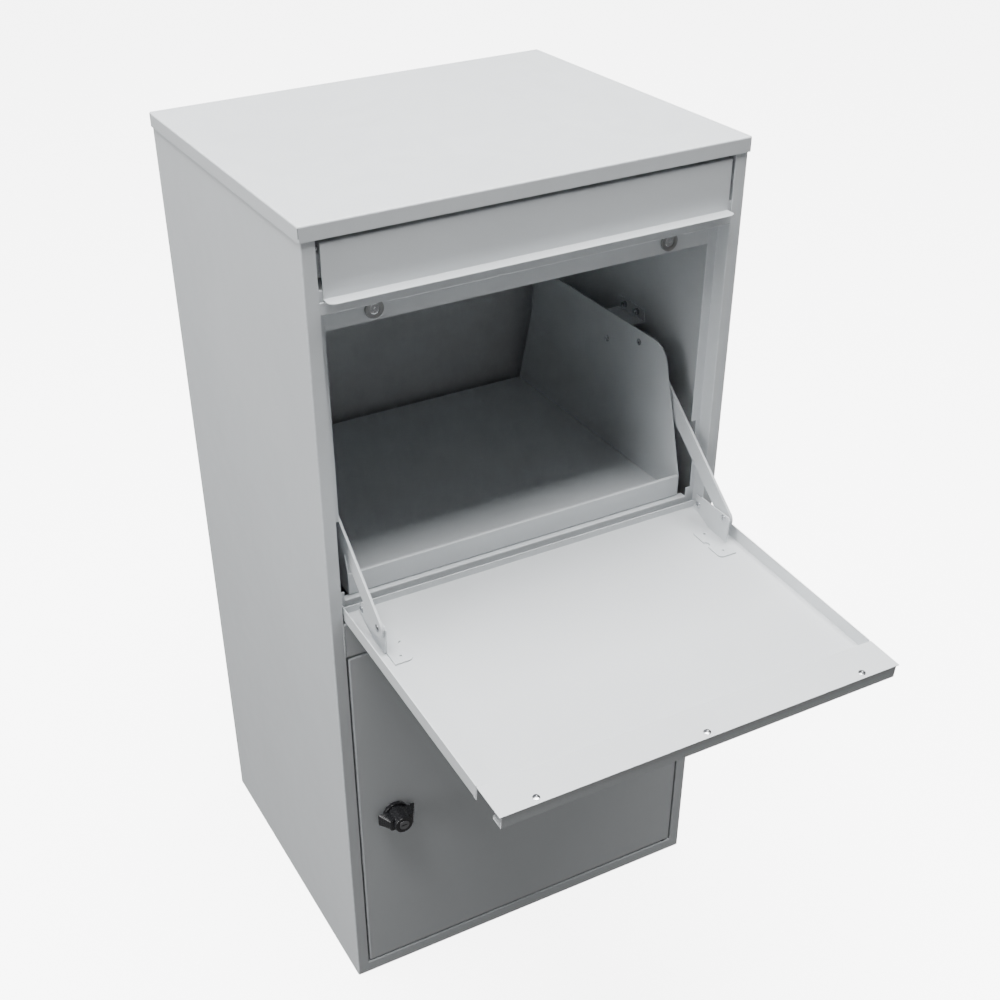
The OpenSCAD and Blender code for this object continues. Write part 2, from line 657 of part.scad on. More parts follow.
// The knob has a round collar, a tapered barrel and two wings, with a spindle to the cam
knob_y1 = -rim_t - knob_gap;
knob_y0 = knob_y1 - knob_d;
plug_depth = 18;
module lock_knob() color(black) in_frame() at_lock() {
    tip_r = 5;
    tip_x = knob_span / 2 - tip_r;
    collar_rim = 3;
    taper = 2.5;
    nip = 0.1;                              // keeps the wing's edges off the tip's tangent
    difference() {
        union() {
            translate([0, knob_y1, 0]) rotate([90, 0, 0]) cylinder(h = collar_t, r = knob_r + collar_rim);
            translate([0, knob_y1 - collar_t, 0]) rotate([90, 0, 0])
                cylinder(h = knob_d - collar_t, r1 = knob_r + 1, r2 = knob_r + 1 - taper);
            translate([0, knob_y1 - collar_t - wing_t, 0]) rotate([-90, 0, 0]) linear_extrude(wing_t)
                for (s = [-1, 1]) {
                    translate([s * tip_x, 0]) circle(tip_r);
                    polygon([[0, knob_r - 1], [s * (tip_x + 1), tip_r - nip],
                        [s * (tip_x + 1), nip - tip_r], [0, 1 - knob_r]]);
                }
        }
        y_pin(knob_y0 - over, knob_y0 + plug_depth, plug_r + pin_play);
    }
    y_pin(knob_y1 - eps, cam_y + cam_t, spindle_r);
}

module key_plug() color(zinc) in_frame() at_lock() difference() {
    face_y = knob_y0 - 0.5;
    slot_w = 8;
    slot_h = 1.2;
    slot_d = 8;
    y_pin(face_y, knob_y0 + plug_depth - cap_gap, plug_r);
    translate([-slot_w / 2, face_y - over, -slot_h / 2]) cube([slot_w, slot_d + over, slot_h]);
}

// The cam hangs down here, and a quarter turn of the knob brings it behind the jamb
module lock_cam() color(zinc) in_frame() at_lock() translate([0, cam_y, 0]) difference() {
    tip_r = 3;
    translate([0, cam_t, 0]) rotate([90, 0, 0]) linear_extrude(cam_t) {
        circle(cam_w / 2);
        translate([-cam_w / 2, -cam_reach + tip_r]) square([cam_w, cam_reach - tip_r]);
        translate([-cam_w / 2 + tip_r, -cam_reach]) square([cam_w - 2 * tip_r, cam_reach]);
        for (x = [-1, 1]) translate([x * (cam_w / 2 - tip_r), -cam_reach + tip_r]) circle(tip_r);
    }
    y_pin(-over, cam_t + over, spindle_r);
}

module cam_screw() color(zinc) in_frame() at_lock() difference() {
    head_y = cam_y + cam_t;
    screw_t = 3.5;
    screw_r = 6;
    socket_r = 2;
    translate([0, head_y + screw_t, 0]) rotate([90, 0, 0]) cylinder(h = screw_t, r = screw_r, $fn = 6);
    y_pin(head_y + screw_t - 1, head_y + screw_t + over, socket_r);
}

side_panel_left();
side_panel_right();
back_panel();
base_panel();
roof_cap();
jamb_left();
jamb_right();
top_rail();
mid_rail();
bottom_rail();
magnets();
magnet_screws();
letter_flap();
letter_flap_pins();
flap_panel();
grip_channel();
grip_screws();
flap_hinge_pins();
flap_bracket_left();
flap_bracket_right();
bracket_rivets();
arm_lower_pins();
stay_arm_left();
stay_arm_right();
arm_upper_pins();
tray_floor();
tray_wing_left();
tray_wing_right();
tray_pivot_pins();
tray_bushes();
pivot_bracket_left();
pivot_bracket_right();
bracket_nuts();
lower_door();
door_hinge_pins();
door_hinge_washers();
lock_housing();
lock_nut();
lock_knob();
key_plug();
lock_cam();
cam_screw();
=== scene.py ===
# Parcel drop box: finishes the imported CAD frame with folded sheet, turned fasteners and
# powder coat. Everything is in metres, +Z is up and the front faces -Y.
import json
import math
import bmesh
import bpy
import numpy as np
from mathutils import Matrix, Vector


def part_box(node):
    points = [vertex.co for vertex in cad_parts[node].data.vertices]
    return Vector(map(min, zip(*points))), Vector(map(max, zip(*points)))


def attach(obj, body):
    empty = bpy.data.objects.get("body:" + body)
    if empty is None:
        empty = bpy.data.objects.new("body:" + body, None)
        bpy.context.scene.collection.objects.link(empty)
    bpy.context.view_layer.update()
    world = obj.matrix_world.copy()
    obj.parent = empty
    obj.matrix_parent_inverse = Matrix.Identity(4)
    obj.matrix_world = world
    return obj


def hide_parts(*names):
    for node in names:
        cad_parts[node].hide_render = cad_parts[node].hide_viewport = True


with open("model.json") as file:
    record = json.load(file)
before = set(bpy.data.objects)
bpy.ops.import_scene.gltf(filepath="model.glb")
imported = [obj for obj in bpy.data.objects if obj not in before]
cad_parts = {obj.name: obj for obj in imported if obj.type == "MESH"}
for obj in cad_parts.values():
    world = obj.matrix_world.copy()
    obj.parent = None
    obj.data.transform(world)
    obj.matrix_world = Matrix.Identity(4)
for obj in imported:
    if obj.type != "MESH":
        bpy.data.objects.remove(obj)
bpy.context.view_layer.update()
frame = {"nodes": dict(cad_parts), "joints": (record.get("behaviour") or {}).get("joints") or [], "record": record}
print("frame loaded with", len(frame["nodes"]), "nodes")

mm = 0.001
sheet = 1.2 * mm
hair = 0.1 * mm     # the least step between neighbouring rows of a surface
tip = 0.05 * mm     # the radius that closes the end of a turned part
joints = {j["name"]: j for j in frame["joints"]}


def nodeBox(node):
    # lowest and highest corner of a CAD node
    low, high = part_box(node)
    return np.array(low), np.array(high)


# the drop flap's slope when it is open, and its hinge
tilt = math.radians(joints["flap_hinge"]["range_deg"][1] - 90)
flapHinge = np.array(joints["flap_hinge"]["pos_m"])


# materials: all patterns read object coordinates, in metres
def startMaterial(name, colour, metallic, roughness):
    mat = bpy.data.materials.new(name)
    mat.use_nodes = True
    tree = mat.node_tree
    tree.nodes.clear()
    out = tree.nodes.new("ShaderNodeOutputMaterial")
    shader = tree.nodes.new("ShaderNodeBsdfPrincipled")
    tree.links.new(shader.outputs["BSDF"], out.inputs["Surface"])
    shader.inputs["Base Color"].default_value = (*colour, 1)
    shader.inputs["Metallic"].default_value = metallic
    shader.inputs["Roughness"].default_value = roughness
    mat.diffuse_color = (*colour, 1)
    place = tree.nodes.new("ShaderNodeTexCoord").outputs["Object"]
    return mat, tree, shader, place


def addNoise(tree, place, scale, detail=2.0, rough=0.5, stretch=None):
    if stretch:
        turn = tree.nodes.new("ShaderNodeMapping")
        turn.inputs["Scale"].default_value = stretch
        tree.links.new(place, turn.inputs["Vector"])
        place = turn.outputs["Vector"]
    noise = tree.nodes.new("ShaderNodeTexNoise")
    noise.inputs["Scale"].default_value = scale
    noise.inputs["Detail"].default_value = detail
    noise.inputs["Roughness"].default_value = rough
    tree.links.new(place, noise.inputs["Vector"])
    return noise.outputs["Fac"]


def addRange(tree, value, fromLow, fromHigh, toLow, toHigh):
    remap = tree.nodes.new("ShaderNodeMapRange")
    remap.inputs["From Min"].default_value = fromLow
    remap.inputs["From Max"].default_value = fromHigh
    remap.inputs["To Min"].default_value = toLow
    remap.inputs["To Max"].default_value = toHigh
    tree.links.new(value, remap.inputs["Value"])
    return remap.outputs["Result"]


def addMix(tree, share, first, second):
    # blends two colours, each a tuple or another node's colour
    mix = tree.nodes.new("ShaderNodeMix")
    mix.data_type = "RGBA"
    tree.links.new(share, mix.inputs["Factor"])
    for socket, colour in ((mix.inputs["A"], first), (mix.inputs["B"], second)):
        if isinstance(colour, tuple):
            socket.default_value = (*colour, 1)
        else:
            tree.links.new(colour, socket)
    return mix.outputs["Result"]


def addBump(tree, height, strength, distance, under=None):
    bump = tree.nodes.new("ShaderNodeBump")
    bump.inputs["Strength"].default_value = strength
    bump.inputs["Distance"].default_value = distance
    tree.links.new(height, bump.inputs["Height"])
    if under:
        tree.links.new(under, bump.inputs["Normal"])
    return bump.outputs["Normal"]


coat = {"cloud": 5.5, "speck": 950, "rub": 160, "gloss": 36, "peel": 420,      # pattern scales
        "peelHeight": 0.05 * mm, "sandHeight": 0.03 * mm, "pale": 1.28, "specular": 0.42}


def powderCoat(name, colour, roughness=0.46):
    # a sprayed powder coat: soft orange peel, a finer sand grain, faint cloudy patches,
    # and a thinner, slightly paler film where the sheet is bent or cut
    tone = np.array(colour)
    mat, tree, shader, place = startMaterial(name, colour, 0.0, roughness)
    cloud = addNoise(tree, place, coat["cloud"], 3)
    speck = addNoise(tree, place, coat["speck"], 1)
    patchy = addRange(tree, cloud, 0.3, 0.7, 0, 1)
    patches = addMix(tree, patchy, tuple(tone * 0.975), tuple(tone * 1.02))
    grain = addMix(tree, addRange(tree, speck, 0.35, 0.65, 0, 0.10), patches, tuple(tone * 0.80))
    wear = tree.nodes.new("ShaderNodeAttribute")
    wear.attribute_name = "edgeWear"
    rubbed = tree.nodes.new("ShaderNodeMath")
    rubbed.operation = "MULTIPLY"
    tree.links.new(wear.outputs["Fac"], rubbed.inputs[0])
    rub = addRange(tree, addNoise(tree, place, coat["rub"], 3), 0.35, 0.7, 0.15, 0.7)
    tree.links.new(rub, rubbed.inputs[1])
    pale = tuple(np.minimum(tone * coat["pale"], 0.95))
    tree.links.new(addMix(tree, rubbed.outputs[0], grain, pale), shader.inputs["Base Color"])
    uneven = addNoise(tree, place, coat["gloss"], 4)
    gloss = addRange(tree, uneven, 0.3, 0.7, roughness - 0.05, roughness + 0.07)
    tree.links.new(gloss, shader.inputs["Roughness"])
    peel = addBump(tree, addNoise(tree, place, coat["peel"], 2), 0.22, coat["peelHeight"])
    sand = addBump(tree, speck, 0.30, coat["sandHeight"], peel)
    tree.links.new(sand, shader.inputs["Normal"])
    shader.inputs["Specular IOR Level"].default_value = coat["specular"]
    return mat


plate = {"cloud": 180, "streak": 900, "pits": 0.008 * mm}


def plating(name, colour, roughness, brushed=None):
    # bright plate over steel: cloudy tint, fine streaks or speckle in the gloss, tiny pits
    tone = np.array(colour)
    mat, tree, shader, place = startMaterial(name, colour, 1.0, roughness)
    cloud = addNoise(tree, place, plate["cloud"], 3, stretch=brushed)
    dull, bright = tuple(tone * 0.82), tuple(np.minimum(tone * 1.1, 1))
    tree.links.new(addMix(tree, cloud, dull, bright), shader.inputs["Base Color"])
    streak = addNoise(tree, place, plate["streak"], 4, stretch=brushed)
    gloss = addRange(tree, streak, 0.3, 0.7, roughness - 0.05, roughness + 0.09)
    tree.links.new(gloss, shader.inputs["Roughness"])
    tree.links.new(addBump(tree, streak, 0.12, plate["pits"]), shader.inputs["Normal"])
    return mat


plastic = {"cloud": 60, "gloss": 300, "grainHeight": 0.03 * mm, "coatRoughness": 0.08}


def mouldedPlastic(name, colour, roughness, grain, coatWeight=0.0):
    # moulded plastic: slow shade change, fine mould grain, slightly uneven gloss
    tone = np.array(colour)
    mat, tree, shader, place = startMaterial(name, colour, 0.0, roughness)
    cloud = addNoise(tree, place, plastic["cloud"], 3)
    shade = addMix(tree, cloud, tuple(tone * 0.75), tuple(tone * 1.5))
    tree.links.new(shade, shader.inputs["Base Color"])
    uneven = addNoise(tree, place, plastic["gloss"], 3)
    gloss = addRange(tree, uneven, 0.3, 0.7, roughness - 0.05, roughness + 0.08)
    tree.links.new(gloss, shader.inputs["Roughness"])
    mould = addBump(tree, addNoise(tree, place, grain, 2), 0.2, plastic["grainHeight"])
    tree.links.new(mould, shader.inputs["Normal"])
    shader.inputs["Coat Weight"].default_value = coatWeight
    shader.inputs["Coat Roughness"].default_value = plastic["coatRoughness"]
    return mat


# the powder coat is one grey on every part; these copies paint light and shade into it: the flap paler as painted
# light on its upturned face, the frame and door a little darker as painted shade, the tray inside darker still as
# painted shade
finishes = {
    "cabinet_paint": powderCoat("cabinetPowder", (0.556, 0.578, 0.594)),
    "frame_paint": powderCoat("framePowderPaintedShade", (0.541, 0.562, 0.578)),
    "door_paint": powderCoat("doorPowderPaintedShade", (0.541, 0.562, 0.578)),
    "flap_paint": powderCoat("flapPowderPaintedLight", (0.572, 0.592, 0.606)),
    "tray_paint": powderCoat("trayPowderPaintedShade", (0.515, 0.538, 0.554), roughness=0.5),
    "linkage_paint": powderCoat("linkagePowder", (0.556, 0.578, 0.594), roughness=0.42),
    "zinc": plating("brightZinc", (0.60, 0.61, 0.63), 0.16),
    "magnet_steel": plating("magnetNickel", (0.34, 0.345, 0.35), 0.32),
    "lock_steel": plating("satinChrome", (0.30, 0.30, 0.31), 0.30, brushed=(1, 1, 6)),
    "knob_plastic": mouldedPlastic("knobBlack", (0.010, 0.010, 0.012), 0.24, 700, coatWeight=0.6),
    "bush_plastic": mouldedPlastic("nylonBlack", (0.020, 0.020, 0.022), 0.55, 900),
}
slotOf = {part["node"]: part["material_slot"] for part in frame["record"]["subparts"]}
bodies = frame["record"]["behaviour"]["bodies"]
bodyOf = {node: body for body, nodes in bodies.items() for node in nodes}
for node, obj in frame["nodes"].items():
    obj.data.materials.clear()
    obj.data.materials.append(finishes[slotOf[node]])
print("finishes ready:", len(finishes))


# surfaces: each is (points, faces, wear of each point)
easeShare = np.array([0, 0.3, 1])       # how a cut edge rounds off, from its end inwards
wornShare = np.array([1, 0.6, 0])       # and how far the coat is rubbed there


def turned2d(vectors, angles):
    # plane vectors turned by angles
    c, s = np.cos(angles), np.sin(angles)
    x, y = vectors[..., 0], vectors[..., 1]
    return np.stack([x * c - y * s, x * s + y * c], -1)


def bendLine(corners, radius, steps=7):
    # the line through the corners, each corner swapped for an arc that meets both legs:
    # point = centre + (start radius turned by a share of the corner's angle)
    p = np.asarray(corners, float)
    legs = np.diff(p, axis=0)
    legs /= np.linalg.norm(legs, axis=1, keepdims=True)
    a, b = legs[:-1], legs[1:]
    turn = np.arctan2(a[:, 0] * b[:, 1] - a[:, 1] * b[:, 0], (a * b).sum(1))
    r = np.broadcast_to(np.asarray(radius, float), turn.shape)
    start = p[1:-1] - a * (r * np.tan(abs(turn) / 2))[:, None]
    side = np.stack([-a[:, 1], a[:, 0]], 1) * (np.sign(turn) * r)[:, None]
    share = np.linspace(0, 1, steps)
    part = turn[:, None] * share
    arc = (start + side)[:, None] + turned2d(-side[:, None], part)
    along = turned2d(np.repeat(a[:, None], steps, 1), part)
    line = np.vstack([p[:1], arc.reshape(-1, 2), p[-1:]])
    way = np.vstack([legs[:1], along.reshape(-1, 2), legs[-1:]])
    bent = np.r_[0, np.tile(np.sin(np.pi * share), len(turn)), 0]
    return line, way, bent


def gridFaces(rows, cols):
    # quads of a grid whose columns close on themselves
    i = np.arange(rows - 1)[:, None] * cols
    j = np.arange(cols)[None]
    k = (j + 1) % cols
    return np.stack([i + j, i + k, i + k + cols, i + j + cols], -1).reshape(-1, 4).tolist()


def foldedSheet(corners, radius, span, place, thickness=sheet, ease=0.28 * mm, tail=(), shape=None):
    # a folded strip: its bent middle line is moved half a thickness to each side along its
    # normals and carried across the span; near each cut edge both sides draw in on a quarter circle
    line, way, bent = bendLine(corners, radius)
    lead = ease * easeShare
    draw = lead[::-1]
    tailLead = np.r_[lead, tail]
    mid = np.vstack([line[0] + way[0] * lead[:, None], line[1:-1],
                     line[-1] - way[-1] * tailLead[::-1, None]])
    way = np.vstack([way[[0, 0, 0]], way[1:-1], np.repeat(way[-1:], len(tailLead), 0)])
    endDraw = np.r_[draw, np.zeros(len(line) - 2 + len(tail)), draw[::-1]]
    worn = np.r_[wornShare, bent[1:-1], np.zeros(len(tail)), wornShare[::-1]]
    stations = np.r_[span[0] + lead, span[1] - lead[::-1]]
    stationDraw = np.r_[draw, draw[::-1]]
    half = thickness / 2 - np.maximum(endDraw, stationDraw[:, None])
    normal = np.stack([-way[:, 1], way[:, 0]], 1)
    left = mid + normal * half[..., None]
    right = mid - normal * half[..., None]
    ring = np.concatenate([left, right[:, ::-1]], 1)
    across = np.repeat(stations[:, None], ring.shape[1], 1)
    if shape:
        across = across * shape(ring)
    points = place(ring[..., 0], ring[..., 1], across)
    rows, cols = ring.shape[:2]
    i = np.arange(cols // 2 - 1)
    cap = np.stack([i, i + 1, cols - 2 - i, cols - 1 - i], 1)
    faces = gridFaces(rows, cols) + cap.tolist() + (cap + (rows - 1) * cols).tolist()
    rim = np.maximum(stationDraw[:, None] / ease, np.r_[worn, worn[::-1]][None])
    return points.reshape(-1, 3), faces, rim.reshape(-1)


def foldedPan(half, depth, radius, corner, place, thickness=sheet, ease=0.28 * mm, slit=None):
    # a pan folded up on four sides: the bent profile, as inset from the edge and height above the
    # face, is carried round a rectangle with rounded corners; a slit pushes the middle line of
    # each corner in by its depth between two heights, where the folded edges meet without a weld
    t = thickness / 2
    inner = corner - hair
    line, way, bent = bendLine([(t, depth), (t, t), (inner, t)], radius - t)
    lead = ease * easeShare
    first = line[0] + way[0] * lead[:, None]
    if slit:
        slitDepth, slitLow, slitHigh = slit
        stops = np.array([slitHigh + 3 * hair, slitHigh, slitLow, slitLow - 3 * hair])
        first = np.vstack([first, np.stack([np.full(4, t), stops], 1)])
    mid = np.vstack([first, line[1:]])
    way = np.vstack([np.repeat(way[:1], len(first), 0), way[1:]])
    draw = np.r_[lead[::-1], np.zeros(len(mid) - 3)]
    normal = np.stack([-way[:, 1], way[:, 0]], 1)
    wall = normal * (t - draw)[:, None]
    profile = np.vstack([(mid + wall)[::-1], mid - wall])
    worn = np.r_[wornShare, np.zeros(len(first) - 3), bent[1:]]
    steps = 7
    angle = (np.arange(4)[:, None] * np.pi / 2 + np.linspace(0, np.pi / 2, steps)).reshape(-1)
    signX = np.repeat([1, -1, -1, 1], steps)
    signY = np.repeat([1, 1, -1, -1], steps)
    inset, height = profile[:, :1], profile[:, 1:]
    push = np.zeros((len(profile), 4 * steps))
    if slit:
        inSlit = (height > slitLow - hair / 10) & (height < slitHigh + hair / 10)
        push = slitDepth * inSlit * (np.arange(4 * steps) % steps == steps // 2)
    reach = np.maximum(corner - inset - push, hair)
    x = signX * (half[0] - corner) + reach * np.cos(angle)
    y = signY * (half[1] - corner) + reach * np.sin(angle)
    rows, cols = x.shape
    points = place(x, y, np.repeat(height, cols, 1))
    faces = gridFaces(rows, cols) + [list(range(cols)), list(range((rows - 1) * cols, rows * cols))]
    return points.reshape(-1, 3), faces, np.repeat(np.r_[worn[::-1], worn], cols)


def turnedShape(profile, centre, axis, around=40, outline=None, closed=False):
    # a turned part: each (radius, height) of the profile is carried round the axis, and an
    # outline limits the radius by angle, as for a hexagon
    profile = np.asarray(profile, float)
    axis = np.asarray(axis, float)
    first = np.array([0.0, 1, 0]) if abs(axis[0]) > 0.5 else np.array([1.0, 0, 0])
    second = np.cross(axis, first)
    angle = np.linspace(0, 2 * np.pi, around, endpoint=False)[None]
    r = np.repeat(profile[:, :1], around, 1)
    h = np.repeat(profile[:, 1:], around, 1)
    if outline:
        r = outline(r, h, angle)
    u, v = r * np.cos(angle), r * np.sin(angle)
    points = np.asarray(centre) + u[..., None] * first + v[..., None] * second + h[..., None] * axis
    rows = len(profile)
    faces = gridFaces(rows, around)
    if closed:
        last = (rows - 1) * around
        j = np.arange(around)
        k = (j + 1) % around
        faces += np.stack([last + j, last + k, k, j], 1).tolist()
    else:
        faces += [list(range(around)), list(range((rows - 1) * around, rows * around))]
    return points.reshape(-1, 3), faces, np.zeros(rows * around)


def hexagon(flat):
    # radius by angle for a hexagon of that inner radius, cut back by the turned profile
    def outline(r, h, angle):
        return np.minimum(r, flat / np.cos((angle + np.pi / 6) % (np.pi / 3) - np.pi / 6))
    return outline


def holedPlate(low, high, centre, holeRadius, x0, x1):
    # a flat lug in y and z with one hole: a ring of four edges, the outer ones where each ray
    # from the hole's centre meets the rectangle
    angle = np.linspace(0, 2 * np.pi, 48, endpoint=False)
    c, s = np.cos(angle), np.sin(angle)
    reachY = np.where(c > 0, high[0] - centre[0], centre[0] - low[0]) / np.maximum(abs(c), 1e-6)
    reachZ = np.where(s > 0, high[1] - centre[1], centre[1] - low[1]) / np.maximum(abs(s), 1e-6)
    outer = np.minimum(reachY, reachZ)
    r = np.stack([np.full_like(outer, holeRadius), outer, outer, np.full_like(outer, holeRadius)])
    x = np.repeat(np.array([x0, x0, x1, x1])[:, None], len(angle), 1)
    points = np.stack([x, centre[0] + r * c, centre[1] + r * s], -1)
    faces = gridFaces(4, len(angle))
    j = np.arange(len(angle))
    k = (j + 1) % len(angle)
    faces += np.stack([3 * len(angle) + j, 3 * len(angle) + k, k, j], 1).tolist()
    return points.reshape(-1, 3), faces, np.zeros(points.size // 3)


def alongX(u, v, w):
    return np.stack([w, u, v], -1)


def alongZ(u, v, w):
    return np.stack([u, v, w], -1)


def onFlap(points):
    # from the drop flap's own level frame to its open pose
    p = np.array(points, float)
    c, s = math.cos(tilt), math.sin(tilt)
    y, z = p[..., 1] * c - p[..., 2] * s, p[..., 1] * s + p[..., 2] * c
    return np.stack([p[..., 0], y, z], -1) + flapHinge


def makePiece(name, shells, nodes):
    # one object from closed shells; it stands for its CAD nodes and rides on their body
    points = np.vstack([s[0] for s in shells])
    starts = np.cumsum([0] + [len(s[0]) for s in shells[:-1]])
    faces = [[v + int(start) for v in face] for s, start in zip(shells, starts) for face in s[1]]
    mesh = bpy.data.meshes.new(name)
    mesh.from_pydata(points.tolist(), [], faces)
    wear = mesh.attributes.new("edgeWear", "FLOAT", "POINT")
    wear.data.foreach_set("value", np.concatenate([s[2] for s in shells]).astype(np.float32))
    return finishPiece(name, mesh, nodes)


# angles are in degrees; a fold shorter than shortFold radii is treated as a cut
easing = {"weld": 2e-6, "flat": 0.6, "sharp": 32, "smooth": 38, "shortFold": 3, "segments": 3,
          "strip": 0.45}


def finishPiece(name, mesh, nodes):
    # outward faces, sharp edges, even shading, finish and body
    bm = bmesh.new()
    bm.from_mesh(mesh)
    bmesh.ops.recalc_face_normals(bm, faces=bm.faces)
    bm.to_mesh(mesh)
    bm.free()
    mesh.polygons.foreach_set("use_smooth", np.full(len(mesh.polygons), True))
    mesh.set_sharp_from_angle(angle=math.radians(easing["smooth"]))
    obj = bpy.data.objects.new(name, mesh)
    bpy.context.scene.collection.objects.link(obj)
    mesh.materials.append(finishes[slotOf[nodes[0]]])
    flat = obj.modifiers.new("evenNormals", "WEIGHTED_NORMAL")
    flat.keep_sharp = True
    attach(obj, bodyOf[nodes[0]])
    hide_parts(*nodes)
    return obj


def easedCopy(node, name, fold, cut=0.28 * mm, wide=2.2 * mm, thickness=sheet):
    # a welded copy of a CAD node, for sheets with notches and holes: an edge between two wide
    # faces is a fold and gets the bend's radius, any other sharp edge gets the cut's
    bm = bmesh.new()
    bm.from_mesh(frame["nodes"][node].data)
    bmesh.ops.remove_doubles(bm, verts=bm.verts, dist=easing["weld"])
    flat = math.radians(easing["flat"])
    bmesh.ops.dissolve_limit(bm, angle_limit=flat, verts=bm.verts, edges=bm.edges)
    sharp = math.radians(easing["sharp"])
    layer = bm.edges.layers.float.new("bevel_weight_edge")
    for edge in bm.edges:
        if len(edge.link_faces) != 2 or edge.calc_face_angle(0) < sharp:
            continue
        width = min(2 * f.calc_area() / max(f.calc_perimeter(), 1e-9) for f in edge.link_faces)
        if width < wide or edge.calc_length() < easing["shortFold"] * fold:
            edge[layer] = cut / fold
        else:
            edge[layer] = 1 if edge.is_convex else max(fold - thickness, cut) / fold
    rough = bpy.data.meshes.new(name + "Rough")
    bm.to_mesh(rough)
    bm.free()
    holder = bpy.data.objects.new(name + "Rough", rough)
    bpy.context.scene.collection.objects.link(holder)
    bevel = holder.modifiers.new("easedEdges", "BEVEL")
    bevel.limit_method = "WEIGHT"
    bevel.width = fold
    bevel.segments = easing["segments"]
    bevel.use_clamp_overlap = False
    bevel.miter_outer = "MITER_ARC"
    graph = bpy.context.evaluated_depsgraph_get()
    mesh = bpy.data.meshes.new_from_object(holder.evaluated_get(graph))
    mesh.name = name
    bpy.data.objects.remove(holder)
    # the narrow strips that the bevel made are where the coat wears
    area = np.zeros(len(mesh.polygons))
    mesh.polygons.foreach_get("area", area)
    first = np.zeros(len(mesh.polygons), int)
    mesh.polygons.foreach_get("loop_start", first)
    ends = np.zeros(len(mesh.loops), int)
    mesh.loops.foreach_get("vertex_index", ends)
    where = np.zeros(len(mesh.vertices) * 3)
    mesh.vertices.foreach_get("co", where)
    where = where.reshape(-1, 3)[ends]
    last = np.r_[first[1:], len(ends)] - 1
    after = np.arange(len(ends)) + 1
    after[last] = first
    girth = np.add.reduceat(np.linalg.norm(where[after] - where, axis=1), first)
    worn = mesh.attributes.new("edgeWear", "FLOAT", "FACE")
    narrow = 2 * area / np.maximum(girth, 1e-9) < easing["strip"] * fold
    worn.data.foreach_set("value", narrow.astype(np.float32))
    return finishPiece(name, mesh, [node])


# cabinet shell
roofCap = {"bend": 2.0 * mm, "corner": 2.3 * mm, "slitDepth": 1.9 * mm, "slitFrom": 2.6 * mm,
           "slitTo": 12.4 * mm}


def buildRoofCap():
    low, high = nodeBox("roof_cap")
    middle = (low + high) / 2
    half = (high - low) / 2

    def place(x, y, h):
        return np.stack([x + middle[0], y + middle[1], high[2] - h], -1)
    rc = roofCap
    slit = (rc["slitDepth"], rc["slitFrom"], rc["slitTo"])
    pan = foldedPan(half[:2], high[2] - low[2], rc["bend"], rc["corner"], place, slit=slit)
    return makePiece("roofCap", [pan], ["roof_cap"])


sidePanel = {"bend": 1.6 * mm}


def buildSidePanel(node, name, s):
    # the stile and the side are one sheet, bent at the front corner
    low, high = nodeBox(node)
    outer, free = (high[0], low[0]) if s > 0 else (low[0], high[0])
    outer -= s * sheet / 2
    front = low[1] + sheet / 2
    corners = [(free, front), (outer, front), (outer, high[1])]
    panel = foldedSheet(corners, sidePanel["bend"], (low[2], high[2]), alongZ)
    return makePiece(name, [panel], [node])


weldBeads = {"width": 1.3 * mm, "ripple": 2.1 * mm, "inset": 0.5 * mm, "proud": 0.25 * mm,
             "rows": 90, "around": 14, "flat": 0.55, "wave": 0.16, "second": 0.6, "slow": 2.7,
             "sway": 0.2, "swayLength": 3.9, "taper": 14, "worn": 0.35}


def buildWelds():
    # short beads where the mid rail meets the stiles: a half-round whose radius follows two sine
    # waves of different length and whose middle sways on a third; its ends shrink to nothing
    wb = weldBeads
    low, high = nodeBox("mid_rail")
    z0, z1 = low[2] + rails["flange"], high[2] - rails["upper"]
    rows, around = wb["rows"], wb["around"]
    z = np.linspace(z0, z1, rows)
    share = (z - z0) / (z1 - z0)
    turn = np.linspace(0, 2 * np.pi, around, endpoint=False)
    shells = []
    for s in (-1, 1):
        wave = np.sin(2 * np.pi * z / wb["ripple"])
        wave = wave + wb["second"] * np.sin(2 * np.pi * z / (wb["slow"] * wb["ripple"]) + s)
        taper = np.sqrt(np.clip(np.minimum(share, 1 - share) * wb["taper"], 0.0004, 1))
        r = (wb["width"] * (1 + wb["wave"] * wave) * taper)[:, None]
        sway = wb["sway"] * wb["width"] * np.sin(2 * np.pi * z / (wb["swayLength"] * wb["ripple"]))
        x = (s * high[0] + sway)[:, None] + r * np.cos(turn)
        y = low[1] + wb["proud"] + wb["flat"] * r * np.sin(turn)
        y = np.maximum(y, low[1] - wb["inset"])
        points = np.stack([x, y, np.repeat(z[:, None], around, 1)], -1)
        caps = [list(range(around)), list(range((rows - 1) * around, rows * around))]
        wear = np.full(points.size // 3, wb["worn"])
        shells.append((points.reshape(-1, 3), gridFaces(rows, around) + caps, wear))
    return shells


rails = {"bend": 1.5 * mm, "restBend": 0.75 * mm, "rebate": 19.6 * mm, "flange": 11.5 * mm,
         "upper": 17 * mm, "narrowFrom": 1.3 * mm}


def narrowBehind(y, share):
    # half width of a rail: full in front of y, a share of it behind
    def shape(ring):
        return np.where(ring[..., 0] > y, share, 1.0)
    return shape


def buildMidRail():
    low, high = nodeBox("mid_rail")
    t = sheet / 2
    back = low[1] + rails["rebate"] + t
    bottom, top = low[2] + rails["flange"] + t, high[2] - rails["upper"] - t
    corners = [(back, low[2]), (back, bottom), (low[1] + t, bottom), (low[1] + t, top), (back, top),
               (back, high[2] - t), (high[1], high[2] - t)]
    share = (high[0] - rails["flange"]) / high[0]
    shape = narrowBehind(back - rails["narrowFrom"], share)
    bends = np.array([rails["bend"]] * 4 + [rails["restBend"]])
    rail = foldedSheet(corners, bends, (low[0], high[0]), alongX, shape=shape)
    return makePiece("midRail", [rail] + buildWelds(), ["mid_rail"])


